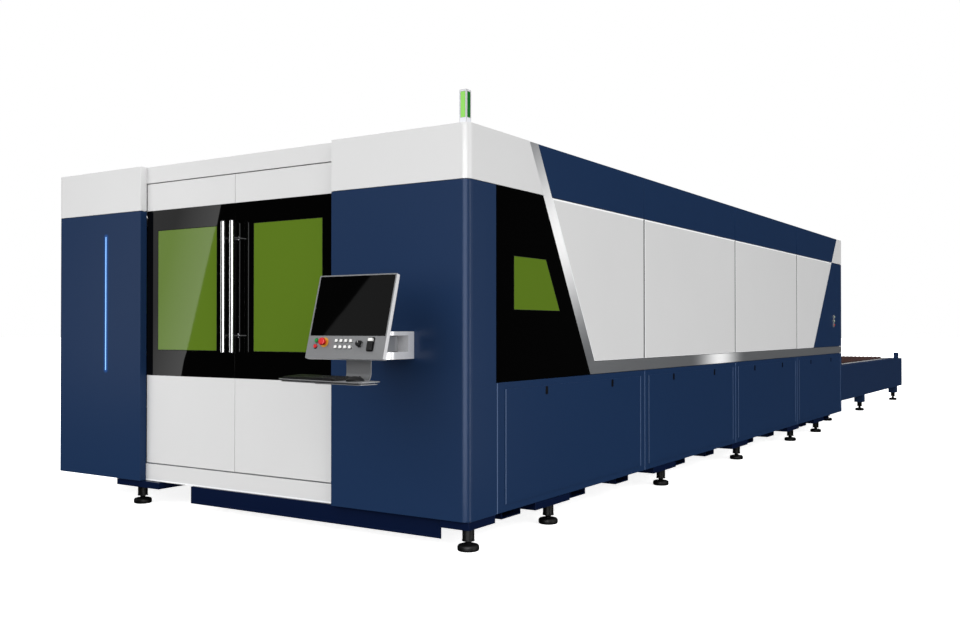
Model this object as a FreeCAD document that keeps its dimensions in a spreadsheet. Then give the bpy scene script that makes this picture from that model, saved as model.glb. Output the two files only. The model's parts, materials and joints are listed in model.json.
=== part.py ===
"""Enclosed laser cutting machine with a pallet exchange table, in millimetres.

Row frame: +Z up, +Y along the machine from the operator's doors to the exchange table, +X to the right
of someone who faces the doors. The origin is on the floor, under the middle of the machine's box.
"""

import FreeCAD, Part
import Sketcher
import math
import os
import re

SIZES = {
    # cladding of the cabin
    "cabin_width": 3630,
    "cabin_top": 2320,
    "skirt_gap": 162,
    "first_seam": 2350,
    "module_pitch": 2060,
    "top_band": 305,
    "waist_low": 902,
    "waist_trim": 83,
    "sheet": 2,
    "pan_depth": 30,
    "seam": 3,
    "proud": 4,
    # corner columns and the door bay
    "left_column": 930,
    "right_column": 970,
    "column_side": 284,
    "column_radius": 45,
    "door_recess": 50,
    "bay_lap": 20,
    "header_height": 114,
    "sill_height": 115,
    # doors
    "door_gap": 3,
    "door_thick": 40,
    "run_gap": 0.3,
    "rail_height": 8,
    "door_white": 600,
    "glass_thick": 6,
    "window_height": 815,
    "window_rise": 175,
    "window_side": 168,
    "window_edge": 117,
    "pane_lap": 12,
    "pane_fit": 0.3,
    "handle_tube": 30,
    "handle_length": 845,
    "handle_low": 1050,
    "handle_side": 40,
    "handle_stand": 65,
    "handle_inset": 110,
    "handle_stud": 16,
    # slanted trim, side window and latches
    "trim_start": 662,
    "trim_across": 110,
    "trim_slope": 0.5696,
    "rear_band": 230,
    "rear_slope": 0.84,
    "pane_front": 485,
    "pane_low": 1314,
    "pane_high": 1627,
    "pane_length": 558,
    "access_margin": 70,
    "access_first": 383,
    "access_low": 205,
    "access_high": 859,
    "latch_width": 15,
    "latch_height": 45,
    "latch_drop": 52,
    "latch_inset": 465,
    "light_at": 555,
    "light_low": 913,
    "light_length": 940,
    "light_width": 8,
    # tower lamp
    "lamp_side": 48,
    "lamp_height": 195,
    "lamp_base": 42,
    "lamp_cap": 12,
    "lamp_post": 9,
    "lamp_inset": 75,
    "lamp_back": 85,
    # frame, bed and guides
    "tube": 60,
    "service_gap": 61,
    "bed_low": 225,
    "bed_top": 1000,
    "bed_beam": 210,
    "bed_wall": 16,
    "bed_start": 180,
    "bed_end": 45,
    "cross_width": 215,
    "cross_low": 112,
    "cross_tube_one": 0.22,
    "cross_tube_two": 0.6,
    "guide_width": 30,
    "guide_height": 28,
    "rack_width": 20,
    # levelling feet
    "foot_one": 63,
    "foot_two": 956,
    "foot_three": 2747,
    "foot_four": 4543,
    "foot_five": 6328,
    "foot_six": 7398,
    "left_foot_inset": 882,
    "foot_inset": 40,
    "foot_pad": 120,
    "foot_pad_height": 36,
    "foot_stem": 36,
    "foot_sleeve": 66,
    "foot_sleeve_height": 55,
    "foot_plate_low": 115,
    "foot_plate_high": 160,
    "foot_plate_length": 440,
    "kick_left": 405,
    "kick_inset": 200,
    "kick_low": 50,
    "kick_set": 30,
    # gantry and cutting head
    "park": 7350,
    "truck_length": 420,
    "truck_height": 80,
    "beam_deep": 300,
    "beam_high": 310,
    "beam_wall": 14,
    "beam_rail": 24,
    "carriage_width": 300,
    "carriage_thick": 40,
    "carriage_low": 980,
    "carriage_high": 1430,
    "head_side": 120,
    "head_low": 1000,
    "head_high": 1480,
    "head_round": 90,
    "tip_at": 860,
    "tip_round": 12,
    "cone_height": 70,
    # pallets and exchange table
    "table_reach": 5420,
    "pallet_length": 6150,
    "pallet_end_gap": 150,
    "pallet_front": 650,
    "pallet_rail": 60,
    "pallet_rail_high": 120,
    "slat_top": 735,
    "slat_high": 100,
    "slat_thick": 6,
    "tooth_deep": 30,
    "rail_drop": 40,
    "level_drop": 200,
    "track_gap": 50,
    "track_thick": 10,
    "wheel_round": 70,
    "wheel_wide": 28,
    "slot_low": 300,
    "slot_high": 850,
    "table_gap": 15,
    "table_beam": 145,
    "table_low": 230,
    "table_high": 700,
    "table_wall": 8,
    "leg_low": 126,
    "leg_long": 140,
    "leg_wide": 120,
    "leg_one": 420,
    "leg_two": 2350,
    "leg_three": 4927,
    "post_side": 60,
    "post_rise": 100,
    "post_back": 420,
    # operator's console
    "console_width": 533,
    "console_height": 464,
    "console_inset": 482,
    "console_out": 400,
    "console_z": 1270,
    "console_tilt": 15.18,
    "bezel_deep": 24,
    "shell_deep": 18,
    "shell_inset": 14,
    "screen_width": 516,
    "screen_height": 332,
    "screen_margin": 7,
    "screen_thick": 4,
    "bracket_width": 242,
    "bracket_low": 1037,
    "bracket_high": 1189,
    "bracket_deep": 220,
    "bracket_radius": 50,
    "bracket_back": 52,
    "lug_top": 22,
    "lug_bottom": 40,
    "pivot_back": 150,
    "knuckle_round": 190,
    "pin_round": 24,
    "pin_fit": 0.05,
    "arm_width": 190,
    "tray_out": 553,
    "tray_across": 20,
    "tray_turn": 9,
    "tray_width": 660,
    "tray_deep": 170,
    "tray_radius": 40,
    "tray_thick": 4,
    "tray_inset": 25,
    "tray_top": 940,
    "holder_width": 170,
    "holder_thick": 6,
    "holder_radius": 50,
    "holder_out": 326,
    "keyboard_width": 430,
    "keyboard_deep": 140,
    "keyboard_thick": 14,
    "mouse_width": 64,
    "mouse_long": 110,
    "mouse_high": 26,
    "mouse_inset": 60,
    # controls on the console's lower strip, from its left and lower edges
    "button_round": 22,
    "button_out": 9,
    "start_across": 63.7,
    "start_up": 98.5,
    "stop_across": 62.4,
    "stop_up": 66.1,
    "estop_across": 119.6,
    "estop_up": 88,
    "estop_round": 42,
    "estop_out": 32,
    "key_first": 204,
    "key_pitch": 33,
    "key_side": 16,
    "key_up_low": 63.4,
    "key_up_high": 97.5,
    "key_out": 8,
    "knob_across": 365.5,
    "knob_up": 81,
    "knob_round": 38,
    "knob_out": 24,
    "switch_across": 438.4,
    "switch_up": 79.6,
    "switch_width": 34,
    "switch_height": 66,
    "switch_out": 14,
    "press_travel": 3,
    "rocker_deep": 4,
    "rocker_room": 8,
    "control_gap": 0.3,
    # buttons at the rear of the right side
    "station_back": 400,
    "station_z": 1300,
    "station_width": 60,
    "station_height": 150,
}

PLACES = {
    "half_width": "cabin_width / 2",
    "cabin_length": "first_seam + 3 * module_pitch",
    "tray_side": "(tray_width / 2 - tray_radius) * sin(tray_turn)",
    "tray_nose": "(tray_deep / 2 - tray_radius) * cos(tray_turn)",
    "tray_reach": "tray_out + tray_side + tray_nose + tray_radius",
    "front": "(tray_reach - cabin_length - table_reach) / 2",
    "rear": "front + cabin_length",
    "far_end": "rear + table_reach",
    "skin": "half_width - proud",
    "pan_back": "skin - pan_depth",
    "white_line": "cabin_top - top_band",
    "waist_high": "waist_low + waist_trim",
    "header_low": "cabin_top - header_height",
    "sill_top": "skirt_gap + sill_height",
    "door_low": "sill_top + rail_height",
    "door_top": "header_low - 2 * door_gap",
    "bay_left": "-half_width + left_column",
    "bay_right": "half_width - right_column",
    "bay_middle": "(bay_left + bay_right) / 2",
    "window_width": "bay_right - bay_middle - window_side - window_edge",
    "door_front": "front + door_recess + door_gap",
    "door_back": "door_front + door_thick",
    "frame_front": "door_back + 17",
    "glass_low": "door_low + door_white",
    "glass_high": "white_line - seam / 2",
    "window_low": "glass_low + window_rise",
    "frame_outer": "pan_back",
    "frame_inner": "pan_back - tube",
    "frame_rear": "rear - pan_depth",
    "roof_low": "cabin_top - proud - pan_depth",
    "bed_outer": "frame_inner - service_gap",
    "bed_inner": "bed_outer - bed_beam",
    "bed_front": "front + bed_start",
    "bed_rear": "rear - bed_end",
    "bed_middle": "bed_outer - bed_beam / 2",
    "half_pallet": "bed_inner - track_gap",
    "table_outer": "bed_inner + table_beam",
    "table_front": "rear + table_gap",
    "spacer_outer": "pan_back - seam",
    "foot_x": "half_width - foot_inset",
    "left_foot": "half_width - left_foot_inset",
    "guide_top": "bed_top + guide_height",
    "beam_low": "guide_top + run_gap + truck_height",
    "beam_top": "beam_low + beam_high",
    "beam_front": "front + park + 120",
    "beam_back": "beam_front + beam_deep",
    "carriage_back": "beam_front - beam_rail - run_gap",
    "carriage_front": "carriage_back - carriage_thick",
    "head_back": "carriage_front - run_gap",
    "head_front": "head_back - head_side",
    "slat_low": "slat_top - slat_high",
    "rail_high": "slat_top - rail_drop",
    "rail_low": "rail_high - pallet_rail_high",
    "upper_start": "far_end - pallet_end_gap - pallet_length",
    "lower_start": "front + pallet_front",
    "console_x": "half_width - console_inset",
    "console_y": "front - console_out",
    "shell_back": "bezel_deep + shell_deep",
    "pivot_y": "front - pivot_back",
    "arm_low": "bracket_low + lug_bottom + run_gap",
    "arm_high": "bracket_high - lug_top - run_gap",
    "arm_z": "(arm_low + arm_high) / 2",
    "housing_y": "console_y + (arm_z - console_z) * tan(console_tilt) + shell_back / cos(console_tilt)",
    "tray_x": "console_x - tray_across",
    "tray_y": "front - tray_out",
    "tray_low": "tray_top - 4 * tray_thick",
    "holder_y": "front - holder_out",
    "kick_right": "half_width - kick_inset",
    "lamp_x": "half_width - lamp_inset",
    "lamp_y": "front + lamp_back",
    "lens_low": "cabin_top + lamp_base",
    "lens_high": "cabin_top + lamp_height - lamp_cap",
}

MODULES = 4
FEET = ("foot_one", "foot_two", "foot_three", "foot_four", "foot_five", "foot_six")
LEGS = ("leg_one", "leg_two", "leg_three")
SLATS = 18
TEETH = 5
WHEELS = 4
KEYS = 4
MOUSE_SIDES = 12
MOUSE_BACK = ((-0.51, 0), (0.51, 0), (0.51, 0.3), (0.3, 0.8), (0.05, 1), (-0.2, 0.85), (-0.51, 0.3))
FACE_NORMALS = {"XY_Plane": (0, 0, 1), "XZ_Plane": (0, -1, 0), "YZ_Plane": (1, 0, 0)}

doc = FreeCAD.newDocument("laser_cutting_machine")
sizes = doc.addObject("Spreadsheet::Sheet", "Sizes")
places = doc.addObject("Spreadsheet::Sheet", "Places")
WORD = re.compile(r"[a-z_]+")


def written(text, own_sheet=False):
    """A formula with each size and place under the name of the sheet that holds it."""

    def holder(found):
        word = found.group()
        if word in SIZES:
            return "Sizes." + word
        if word in PLACES and not own_sheet:
            return "Places." + word
        return word

    return WORD.sub(holder, str(text))


for row, (word, size) in enumerate(SIZES.items(), start=1):
    sizes.set(f"A{row}", word)
    sizes.set(f"B{row}", str(size))
    sizes.setAlias(f"B{row}", word)
doc.recompute()
for row, (word, formula) in enumerate(PLACES.items(), start=1):
    places.set(f"A{row}", word)
    places.set(f"B{row}", "=" + written(formula, own_sheet=True))
    places.setAlias(f"B{row}", word)
doc.recompute()


def bind(thing, prop, formula):
    """Ties one property of an object to a formula of the sheets' values."""
    thing.setExpression(prop, written(formula))


def block(name, x, y, z):
    """A rectangular block between two places along each axis."""
    solid = doc.addObject("Part::Box", name)
    for side, (low, high) in zip(("Length", "Width", "Height"), (x, y, z)):
        bind(solid, side, f"({high}) - ({low})")
    for axis, (low, _) in zip("xyz", (x, y, z)):
        bind(solid, "Placement.Base." + axis, low)
    return solid


def round_bar(name, across, at, length, direction="Z", sides=0):
    """A cylinder that starts at a place and runs along an axis, or a prism where sides are given."""
    if sides:
        solid = doc.addObject("Part::Prism", name)
        solid.Polygon = sides
        bind(solid, "Circumradius", f"({across}) / 2")
    else:
        solid = doc.addObject("Part::Cylinder", name)
        bind(solid, "Radius", f"({across}) / 2")
    bind(solid, "Height", length)
    turns = {"Z": (0, 0, 1, 0), "X": (0, 1, 0, 90), "Y": (1, 0, 0, -90)}
    ax, ay, az, angle = turns[direction]
    solid.Placement = FreeCAD.Placement(
        FreeCAD.Vector(), FreeCAD.Rotation(FreeCAD.Vector(ax, ay, az), angle)
    )
    for axis, place in zip("xyz", at):
        bind(solid, "Placement.Base." + axis, place)
    return solid


def cut(base, *tools):
    """What is left of a solid when other solids are taken out of it."""
    result = base
    for number, tool in enumerate(tools):
        step = doc.addObject("Part::Cut", f"{base.Name}_cut_{number}")
        step.Base = result
        step.Tool = tool
        result = step
    return result


def fused(name, *pieces):
    """One solid made of several that touch."""
    result = doc.addObject("Part::MultiFuse", name)
    result.Shapes = list(pieces)
    result.Refine = True
    return result


def mirrored(solid):
    """The same piece on the machine's left side."""
    twin = doc.addObject("Part::Mirroring", solid.Name + "_left")
    twin.Source = solid
    twin.Normal = (1, 0, 0)
    return twin


def both_sides(solids):
    """Right-hand pieces with their left-hand twins."""
    return [*solids, *[mirrored(solid) for solid in solids]]


def prism(name, plane, outline, level, thick, holes=()):
    """A body padded from a straight-edged sketch; level is where the sketch lies along its normal."""
    body = doc.addObject("PartDesign::Body", name)
    sketch = body.newObject("Sketcher::SketchObject", name + "_outline")
    base_plane = [part for part in body.Origin.OriginFeatures if part.Role == plane][0]
    sketch.AttachmentSupport = [(base_plane, "")]
    sketch.MapMode = "FlatFace"
    sign = sum(FACE_NORMALS[plane])
    bind(sketch, "AttachmentOffset.Base.z", f"{sign} * ({level})")
    for points in (outline, *holes):
        first = sketch.GeometryCount
        count = len(points)
        turns = [2 * math.pi * n / count for n in range(count)]
        ring = [FreeCAD.Vector(math.cos(turn), math.sin(turn), 0) for turn in turns]
        for n in range(count):
            sketch.addGeometry(Part.LineSegment(ring[n], ring[(n + 1) % count]), False)
        for n in range(count):
            following = first + (n + 1) % count
            sketch.addConstraint(Sketcher.Constraint("Coincident", first + n, 2, following, 1))
        for n, point in enumerate(points):
            for kind, place, start in zip(("DistanceX", "DistanceY"), point, ring[n]):
                made = sketch.addConstraint(
                    Sketcher.Constraint(kind, -1, 1, first + n, 1, start)
                )
                bind(sketch, f"Constraints[{made}]", place)
    pad = body.newObject("PartDesign::Pad", name + "_pad")
    pad.Profile = sketch
    bind(pad, "Length", thick)
    return body


def rounded(body, along, radius, key=None, count=None):
    """Rounds edges of a body that run along one direction, the first few by a key where one is given."""
    doc.recompute()
    base = body.Tip
    direction = FreeCAD.Vector(*along)
    found = []
    for number, edge in enumerate(base.Shape.Edges, start=1):
        straight = edge.Curve.TypeId == "Part::GeomLine"
        if straight and abs(abs(edge.tangentAt(edge.FirstParameter).dot(direction)) - 1) < 1e-6:
            middle = edge.CenterOfMass
            found.append((key(middle) if key else 0, number))
    found.sort(reverse=True)
    chosen = [f"Edge{number}" for _, number in found[:count]]
    fillet = body.newObject("PartDesign::Fillet", body.Name + "_round")
    fillet.Base = (base, chosen)
    bind(fillet, "Radius", radius)
    return body


def hollow(body, toward, wall="sheet"):
    """Opens a body on the sides that face given directions and leaves a sheet-metal wall elsewhere."""
    doc.recompute()
    base = body.Tip
    names = []
    for direction in toward:
        for number, face in enumerate(base.Shape.Faces, start=1):
            flat = face.Surface.TypeId == "Part::GeomPlane"
            if flat and face.normalAt(0, 0).dot(FreeCAD.Vector(*direction)) > 0.999:
                names.append(f"Face{number}")
    shell = body.newObject("PartDesign::Thickness", body.Name + "_shell")
    shell.Base = (base, names)
    shell.Mode = 0
    shell.Join = 1
    shell.Reversed = True
    bind(shell, "Value", wall)
    return body


def sub_part(label, *pieces):
    """One named sub-part of the machine, from one piece or from a group of like pieces."""
    if len(pieces) == 1:
        piece = pieces[0]
    else:
        piece = doc.addObject("Part::Compound", label)
        piece.Links = list(pieces)
    piece.Label = label
    SUB_PARTS.append(piece)
    return piece


SUB_PARTS = []


def trim_left(z):
    """Where the slanted trim's front edge is at a height."""
    return f"front + trim_start + trim_slope * (cabin_top - ({z}))"


def trim_right(z):
    """Where the slanted trim's rear edge is at a height."""
    return f"{trim_left(z)} + trim_across"


def rear_slant(z):
    """Where the rear colour fields meet at a height."""
    return f"rear - rear_band - rear_slope * (cabin_top - ({z}))"


def seam_at(number):
    """Where the seam behind a cabin module is; number 0 is the front edge of the side."""
    if number == 0:
        return "front + column_side"
    return f"front + first_seam + {number - 1} * module_pitch"


def side_pan(name, outline):
    """A folded sheet-metal panel of the right side, open towards the inside."""
    body = prism(name, "YZ_Plane", outline, "pan_back", "pan_depth")
    return hollow(body, [(-1, 0, 0)])


# corner columns: folded covers with a large outer radius and a short return beside the doors
def column_cover(name, width, low, high):
    inner = f"half_width - {width}"
    outline = [
        (inner, "front"),
        ("half_width", "front"),
        ("half_width", "front + column_side"),
        ("half_width - sheet", "front + column_side"),
        ("half_width - sheet", "front + sheet"),
        (f"{inner} + sheet", "front + sheet"),
        (f"{inner} + sheet", "front + door_recess"),
        (inner, "front + door_recess"),
    ]
    body = prism(name, "XY_Plane", outline, low, f"({high}) - ({low})")
    rounded(body, (0, 0, 1), "column_radius", key=lambda at: at.x - at.y, count=1)
    rounded(body, (0, 0, 1), "column_radius - sheet", key=lambda at: at.x - at.y, count=1)
    return body


right_cover = column_cover("right_cover", "right_column", "skirt_gap", "white_line - seam / 2")
left_cover = column_cover("left_cover", "left_column", "skirt_gap", "white_line - seam / 2")
sub_part("column_covers", right_cover, mirrored(left_cover))


# white top covers: the same fold above the colour line, a wing back to the trim and a lid
def top_cover(name, width):
    low = "white_line + seam / 2"
    fold = column_cover(name + "_fold", width, low, "cabin_top")
    wing = prism(
        name + "_wing",
        "YZ_Plane",
        [
            ("front + column_side", low),
            (f"{trim_left(low)} - seam / 2", low),
            (f"{trim_left('cabin_top')} - seam / 2", "cabin_top"),
            ("front + column_side", "cabin_top"),
        ],
        "half_width - sheet",
        "sheet",
    )
    lid = block(
        name + "_lid",
        (f"half_width - {width} + sheet", "half_width - sheet"),
        ("front + column_radius", "front + column_side"),
        ("cabin_top - sheet", "cabin_top"),
    )
    nose = block(
        name + "_nose",
        (f"half_width - {width} + sheet", "half_width - column_radius"),
        ("front + sheet", "front + column_radius"),
        ("cabin_top - sheet", "cabin_top"),
    )
    return fused(name, fold, wing, lid, nose)


right_top = top_cover("right_top", "right_column")
left_top = top_cover("left_top", "left_column")

# header and sill: plain white folds that run behind the columns' returns

def bay_fold(name, low, high):
    body = prism(
        name,
        "XZ_Plane",
        [
            (f"bay_left - bay_lap", low),
            (f"bay_right + bay_lap", low),
            (f"bay_right + bay_lap", high),
            (f"bay_left - bay_lap", high),
        ],
        "front + door_recess + pan_depth",
        "pan_depth",
    )
    return hollow(body, [(0, 1, 0)])


header = bay_fold("header", "header_low", "cabin_top - sheet")
sill = bay_fold("sill", "skirt_gap", "sill_top")
rear_top_pan = side_pan(
    "rear_top_pan",
    [
        (f"{rear_slant('white_line')} + seam", "white_line + seam / 2"),
        ("rear", "white_line + seam / 2"),
        ("rear", "cabin_top"),
        (f"{rear_slant('cabin_top')} + seam", "cabin_top"),
    ],
)
sub_part("white_top_covers", right_top, mirrored(left_top), header, sill, *both_sides([rear_top_pan]))


# side panels by module: navy below, white in the middle, navy above
def module_row(name, first, last, low, high):
    pans = []
    for number in range(MODULES):
        front_edge = f"{seam_at(number)} + seam / 2"
        rear_edge = f"{seam_at(number + 1)} - seam / 2"
        corners = [(front_edge, low), (rear_edge, low), (rear_edge, high), (front_edge, high)]
        if number == 0:
            corners[0] = (first(low), low)
            corners[3] = (first(high), high)
        if number == MODULES - 1:
            corners[1] = (last(low), low)
            corners[2] = (last(high), high)
        pans.append(side_pan(f"{name}_{number + 1}", corners))
    return pans


def after_trim(z):
    return f"{trim_right(z)} + seam / 2"


def before_slant(z):
    return f"{rear_slant(z)} - seam"


upper_pans = module_row("upper", after_trim, before_slant, "white_line + seam / 2", "cabin_top")
white_pans = module_row("white", after_trim, before_slant, "waist_high + seam", "white_line - seam / 2")
lower_pans = module_row(
    "lower", lambda z: "front + column_side + seam", lambda z: "rear", "skirt_gap", "waist_low - seam"
)
rear_pan = side_pan(
    "rear_pan",
    [
        (f"{rear_slant('waist_high')} + seam", "waist_high + seam"),
        ("rear", "waist_high + seam"),
        ("rear", "white_line - seam / 2"),
        (f"{rear_slant('white_line')} + seam", "white_line - seam / 2"),
    ],
)
sub_part("upper_navy_panels", *both_sides([*upper_pans, rear_pan]))
sub_part("white_side_panels", *both_sides(white_pans))
kick_plate = block(
    "kick_plate",
    ("-kick_left", "kick_right"),
    ("front + kick_set", "front + kick_set + 3 * sheet"),
    ("kick_low", "skirt_gap"),
)
kick_flange = block(
    "kick_flange",
    ("-kick_left", "kick_right"),
    ("front + kick_set + 3 * sheet", "front + door_recess + pan_depth"),
    ("skirt_gap - 3 * sheet", "skirt_gap"),
)
sub_part("skirt_panels", *both_sides(lower_pans), fused("kick_fold", kick_plate, kick_flange))

# brushed trim: one folded strip that comes down the slant and runs back along the waist
trim = side_pan(
    "trim",
    [
        (trim_left("cabin_top"), "cabin_top"),
        (trim_left("waist_low"), "waist_low"),
        ("rear", "waist_low"),
        ("rear", "waist_high"),
        (trim_right("waist_high"), "waist_high"),
        (trim_right("cabin_top"), "cabin_top"),
    ],
)
sub_part("trim_strips", *both_sides([trim]))

# dark side glass on a folded carrier, with the green pane let into it
GLASS_OUTLINE = [
    ("front + column_side + seam / 2", "waist_low"),
    (f"{trim_left('waist_low')} - seam / 2", "waist_low"),
    (f"{trim_left('white_line')} - seam / 2", "white_line - seam / 2"),
    ("front + column_side + seam / 2", "white_line - seam / 2"),
]


def side_pane_outline(grow):
    """The side window's trapezium, grown or shrunk on every side."""
    slant = "trim_slope * (pane_high - pane_low)"
    return [
        (f"front + pane_front - ({grow})", f"pane_low - ({grow})"),
        (f"front + pane_front + pane_length + ({grow})", f"pane_low - ({grow})"),
        (f"front + pane_front + pane_length - {slant} + ({grow})", f"pane_high + ({grow})"),
        (f"front + pane_front - ({grow})", f"pane_high + ({grow})"),
    ]


carrier = prism(
    "glass_carrier",
    "YZ_Plane",
    GLASS_OUTLINE,
    "pan_back",
    "pan_depth - glass_thick",
    holes=[side_pane_outline("-pane_lap")],
)
side_sheet = prism(
    "side_sheet",
    "YZ_Plane",
    GLASS_OUTLINE,
    "skin - glass_thick",
    "glass_thick",
    holes=[side_pane_outline("pane_fit")],
)
sub_part("side_glass", *both_sides([hollow(carrier, [(-1, 0, 0)]), side_sheet]))
side_pane = prism("side_pane", "YZ_Plane", side_pane_outline("0"), "skin - glass_thick", "glass_thick")
sub_part("side_windows", *both_sides([side_pane]))


# removable access panels on the lower side, each with two flush latches
def access_ends(number):
    if number == 0:
        return "front + access_first", f"{seam_at(1)} - access_margin"
    return f"{seam_at(number)} + access_margin", f"{seam_at(number + 1)} - access_margin"


access_panels = []
latches = []
for number in range(MODULES):
    start, end = access_ends(number)
    middle = f"(({start}) + ({end})) / 2"
    panel = block(f"access_{number + 1}", ("skin", "half_width"), (start, end), ("access_low", "access_high"))
    holes = []
    for side in (-1, 1):
        at = f"{middle} + {side} * latch_inset"
        low = "access_high - latch_drop"
        holes.append(
            block(
                f"latch_hole_{number}_{side + 1}",
                ("skin - proud", "half_width + proud"),
                (f"{at} - latch_width / 2", f"{at} + latch_width / 2"),
                (low, f"{low} + latch_height"),
            )
        )
        latches.append(
            block(
                f"latch_{number}_{side + 1}",
                ("skin", "half_width - sheet / 2"),
                (f"{at} - latch_width / 2 + run_gap", f"{at} + latch_width / 2 - run_gap"),
                (f"{low} + run_gap", f"{low} + latch_height - run_gap"),
            )
        )
    access_panels.append(cut(panel, *holes))
sub_part("access_panels", *both_sides(access_panels))
sub_part("panel_latches", *both_sides(latches))


# roof pans, one for each module and a short one between the front covers
def roof_pan(name, left, right, start, end):
    body = prism(
        name,
        "XY_Plane",
        [(left, start), (right, start), (right, end), (left, end)],
        "roof_low",
        "pan_depth",
    )
    return hollow(body, [(0, 0, -1)])


roof_pans = [
    roof_pan(
        f"roof_{number + 1}",
        "-pan_back + seam / 2",
        "pan_back - seam / 2",
        f"{seam_at(number)} + seam / 2",
        f"{seam_at(number + 1)} - seam / 2",
    )
    for number in range(MODULES)
]
roof_front = roof_pan(
    "roof_front",
    "bay_left + seam",
    "bay_right - seam",
    "front + door_recess + pan_depth + seam / 2",
    f"{seam_at(0)} - seam / 2",
)
sub_part("roof_panels", roof_front, *roof_pans)

# rear wall with the slot that the pallets pass through
rear_wall = prism(
    "rear_wall_pan",
    "XZ_Plane",
    [
        ("-pan_back + seam / 2", "skirt_gap"),
        ("pan_back - seam / 2", "skirt_gap"),
        ("pan_back - seam / 2", "roof_low - seam"),
        ("-pan_back + seam / 2", "roof_low - seam"),
    ],
    "rear",
    "pan_depth",
    holes=[
        [
            ("-bed_inner - table_gap", "slot_low"),
            ("bed_inner + table_gap", "slot_low"),
            ("bed_inner + table_gap", "slot_high"),
            ("-bed_inner - table_gap", "slot_high"),
        ]
    ],
)
sub_part("rear_wall", hollow(rear_wall, [(0, -1, 0)]))

# cabin frame: square tubes on the outriggers, posts behind the seams and beams under the roof
frame = []
LOW_RAIL = ("bed_low", "bed_low + tube")
TOP_RAIL = ("roof_low - tube", "roof_low")
SIDE_RAIL = ("frame_inner", "frame_outer")
POST = ("bed_low + tube", "roof_low - tube")
post_places = ["frame_front", "front + column_side", *[f"{seam_at(n)} - tube / 2" for n in (1, 2, 3)]]
post_places.append("frame_rear - tube")
for number, start in enumerate(post_places):
    frame.append(block(f"post_{number}", SIDE_RAIL, (start, f"{start} + tube"), POST))
for name, height in (("low_rail", LOW_RAIL), ("top_rail", TOP_RAIL)):
    frame.append(block(name, SIDE_RAIL, ("frame_front", "frame_rear"), height))
frame = both_sides(frame)
for number, start in enumerate(post_places):
    if number != 1:
        frame.append(
            block(f"roof_beam_{number}", ("-frame_inner", "frame_inner"), (start, f"{start} + tube"), TOP_RAIL)
        )
frame.append(
    block("low_beam", ("-frame_inner", "frame_inner"), ("frame_front", "frame_front + tube"), LOW_RAIL)
)
for side, width in (("right", "right_column"), ("left", "left_column")):
    sign = 1 if side == "right" else -1
    at = f"{sign} * (half_width - {width} * 0.3)"
    for level, height in (("low", LOW_RAIL), ("top", TOP_RAIL)):
        frame.append(
            block(
                f"outrigger_{side}_{level}",
                (f"{at} - tube / 2", f"{at} + tube / 2"),
                ("front + sheet", "frame_front"),
                (height[0], f"{height[0]} + tube / 2") if level == "low" else height,
            )
        )
sub_part("cabin_frame", *frame)


# bed: two box beams on cross tubes, a front beam and stepped plates over the feet
def box_tube(name, x, y, z, wall, along):
    """A hollow rectangular tube, open at both ends."""
    walls = {"X": (0, wall, wall), "Y": (wall, 0, wall)}[along]
    spans = []
    for (low, high), thick in zip((x, y, z), walls):
        spans.append((f"{low} + ({thick})", f"{high} - ({thick})") if thick else (f"{low} - 1", f"{high} + 1"))
    return cut(block(name, x, y, z), block(name + "_bore", *spans))


bed = both_sides(
    [
        box_tube(
            "bed_side",
            ("bed_inner", "bed_outer"),
            ("bed_front", "bed_rear"),
            ("bed_low", "bed_top"),
            "bed_wall",
            "Y",
        )
    ]
)
bed.append(
    box_tube(
        "bed_nose",
        ("-bed_inner", "bed_inner"),
        ("bed_front + bed_wall", "bed_front + bed_wall + bed_beam / 2"),
        ("bed_low", "bed_low + 2 * bed_beam"),
        "bed_wall",
        "X",
    )
)
cross_places = ["(foot_one + foot_two) / 2"]
for first, second in zip(FEET[1:4], FEET[2:5]):
    for share in ("cross_tube_one", "cross_tube_two"):
        cross_places.append(f"{first} + {share} * ({second} - {first})")
cross_places.append("(foot_five + foot_six) / 2")
cross_places.append("foot_six + foot_plate_length")
for number, at in enumerate(cross_places):
    bed.append(
        box_tube(
            f"cross_tube_{number}",
            ("-spacer_outer", "spacer_outer"),
            (f"front + {at} - cross_width / 2", f"front + {at} + cross_width / 2"),
            ("cross_low", "bed_low"),
            "bed_wall / 2",
            "X",
        )
    )
plates = []
for number, foot in enumerate(FEET):
    start = f"front + {foot} - foot_plate_length / 2" if number else "front + 4 * proud"
    end = f"front + {foot} + foot_plate_length / 2"
    inner = "bed_outer - foot_inset"
    plates.append(block(f"foot_plate_{number}", (inner, "skin"), (start, end), ("foot_plate_low", "foot_plate_high")))
    step = (f"{start} + foot_inset / 2", f"{end} + foot_inset / 2")
    plates.append(block(f"foot_step_{number}", (inner, "spacer_outer"), step, ("foot_plate_high", "bed_low")))
left_corner = (f"-left_foot - foot_plate_length / 2", f"-left_foot + foot_plate_length / 2")
corner_run = ("front + 4 * proud", "front + foot_one + foot_plate_length / 2")
bed += plates
bed += [mirrored(plate) for plate in plates[2:]]
bed.append(block("left_foot_plate", left_corner, corner_run, ("foot_plate_low", "foot_plate_high")))
bed.append(
    block(
        "left_foot_step",
        left_corner,
        ("front + door_recess + pan_depth + seam", "front + foot_one + foot_plate_length / 2"),
        ("foot_plate_high", "bed_low"),
    )
)
sub_part("bed_frame", *bed)


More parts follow.
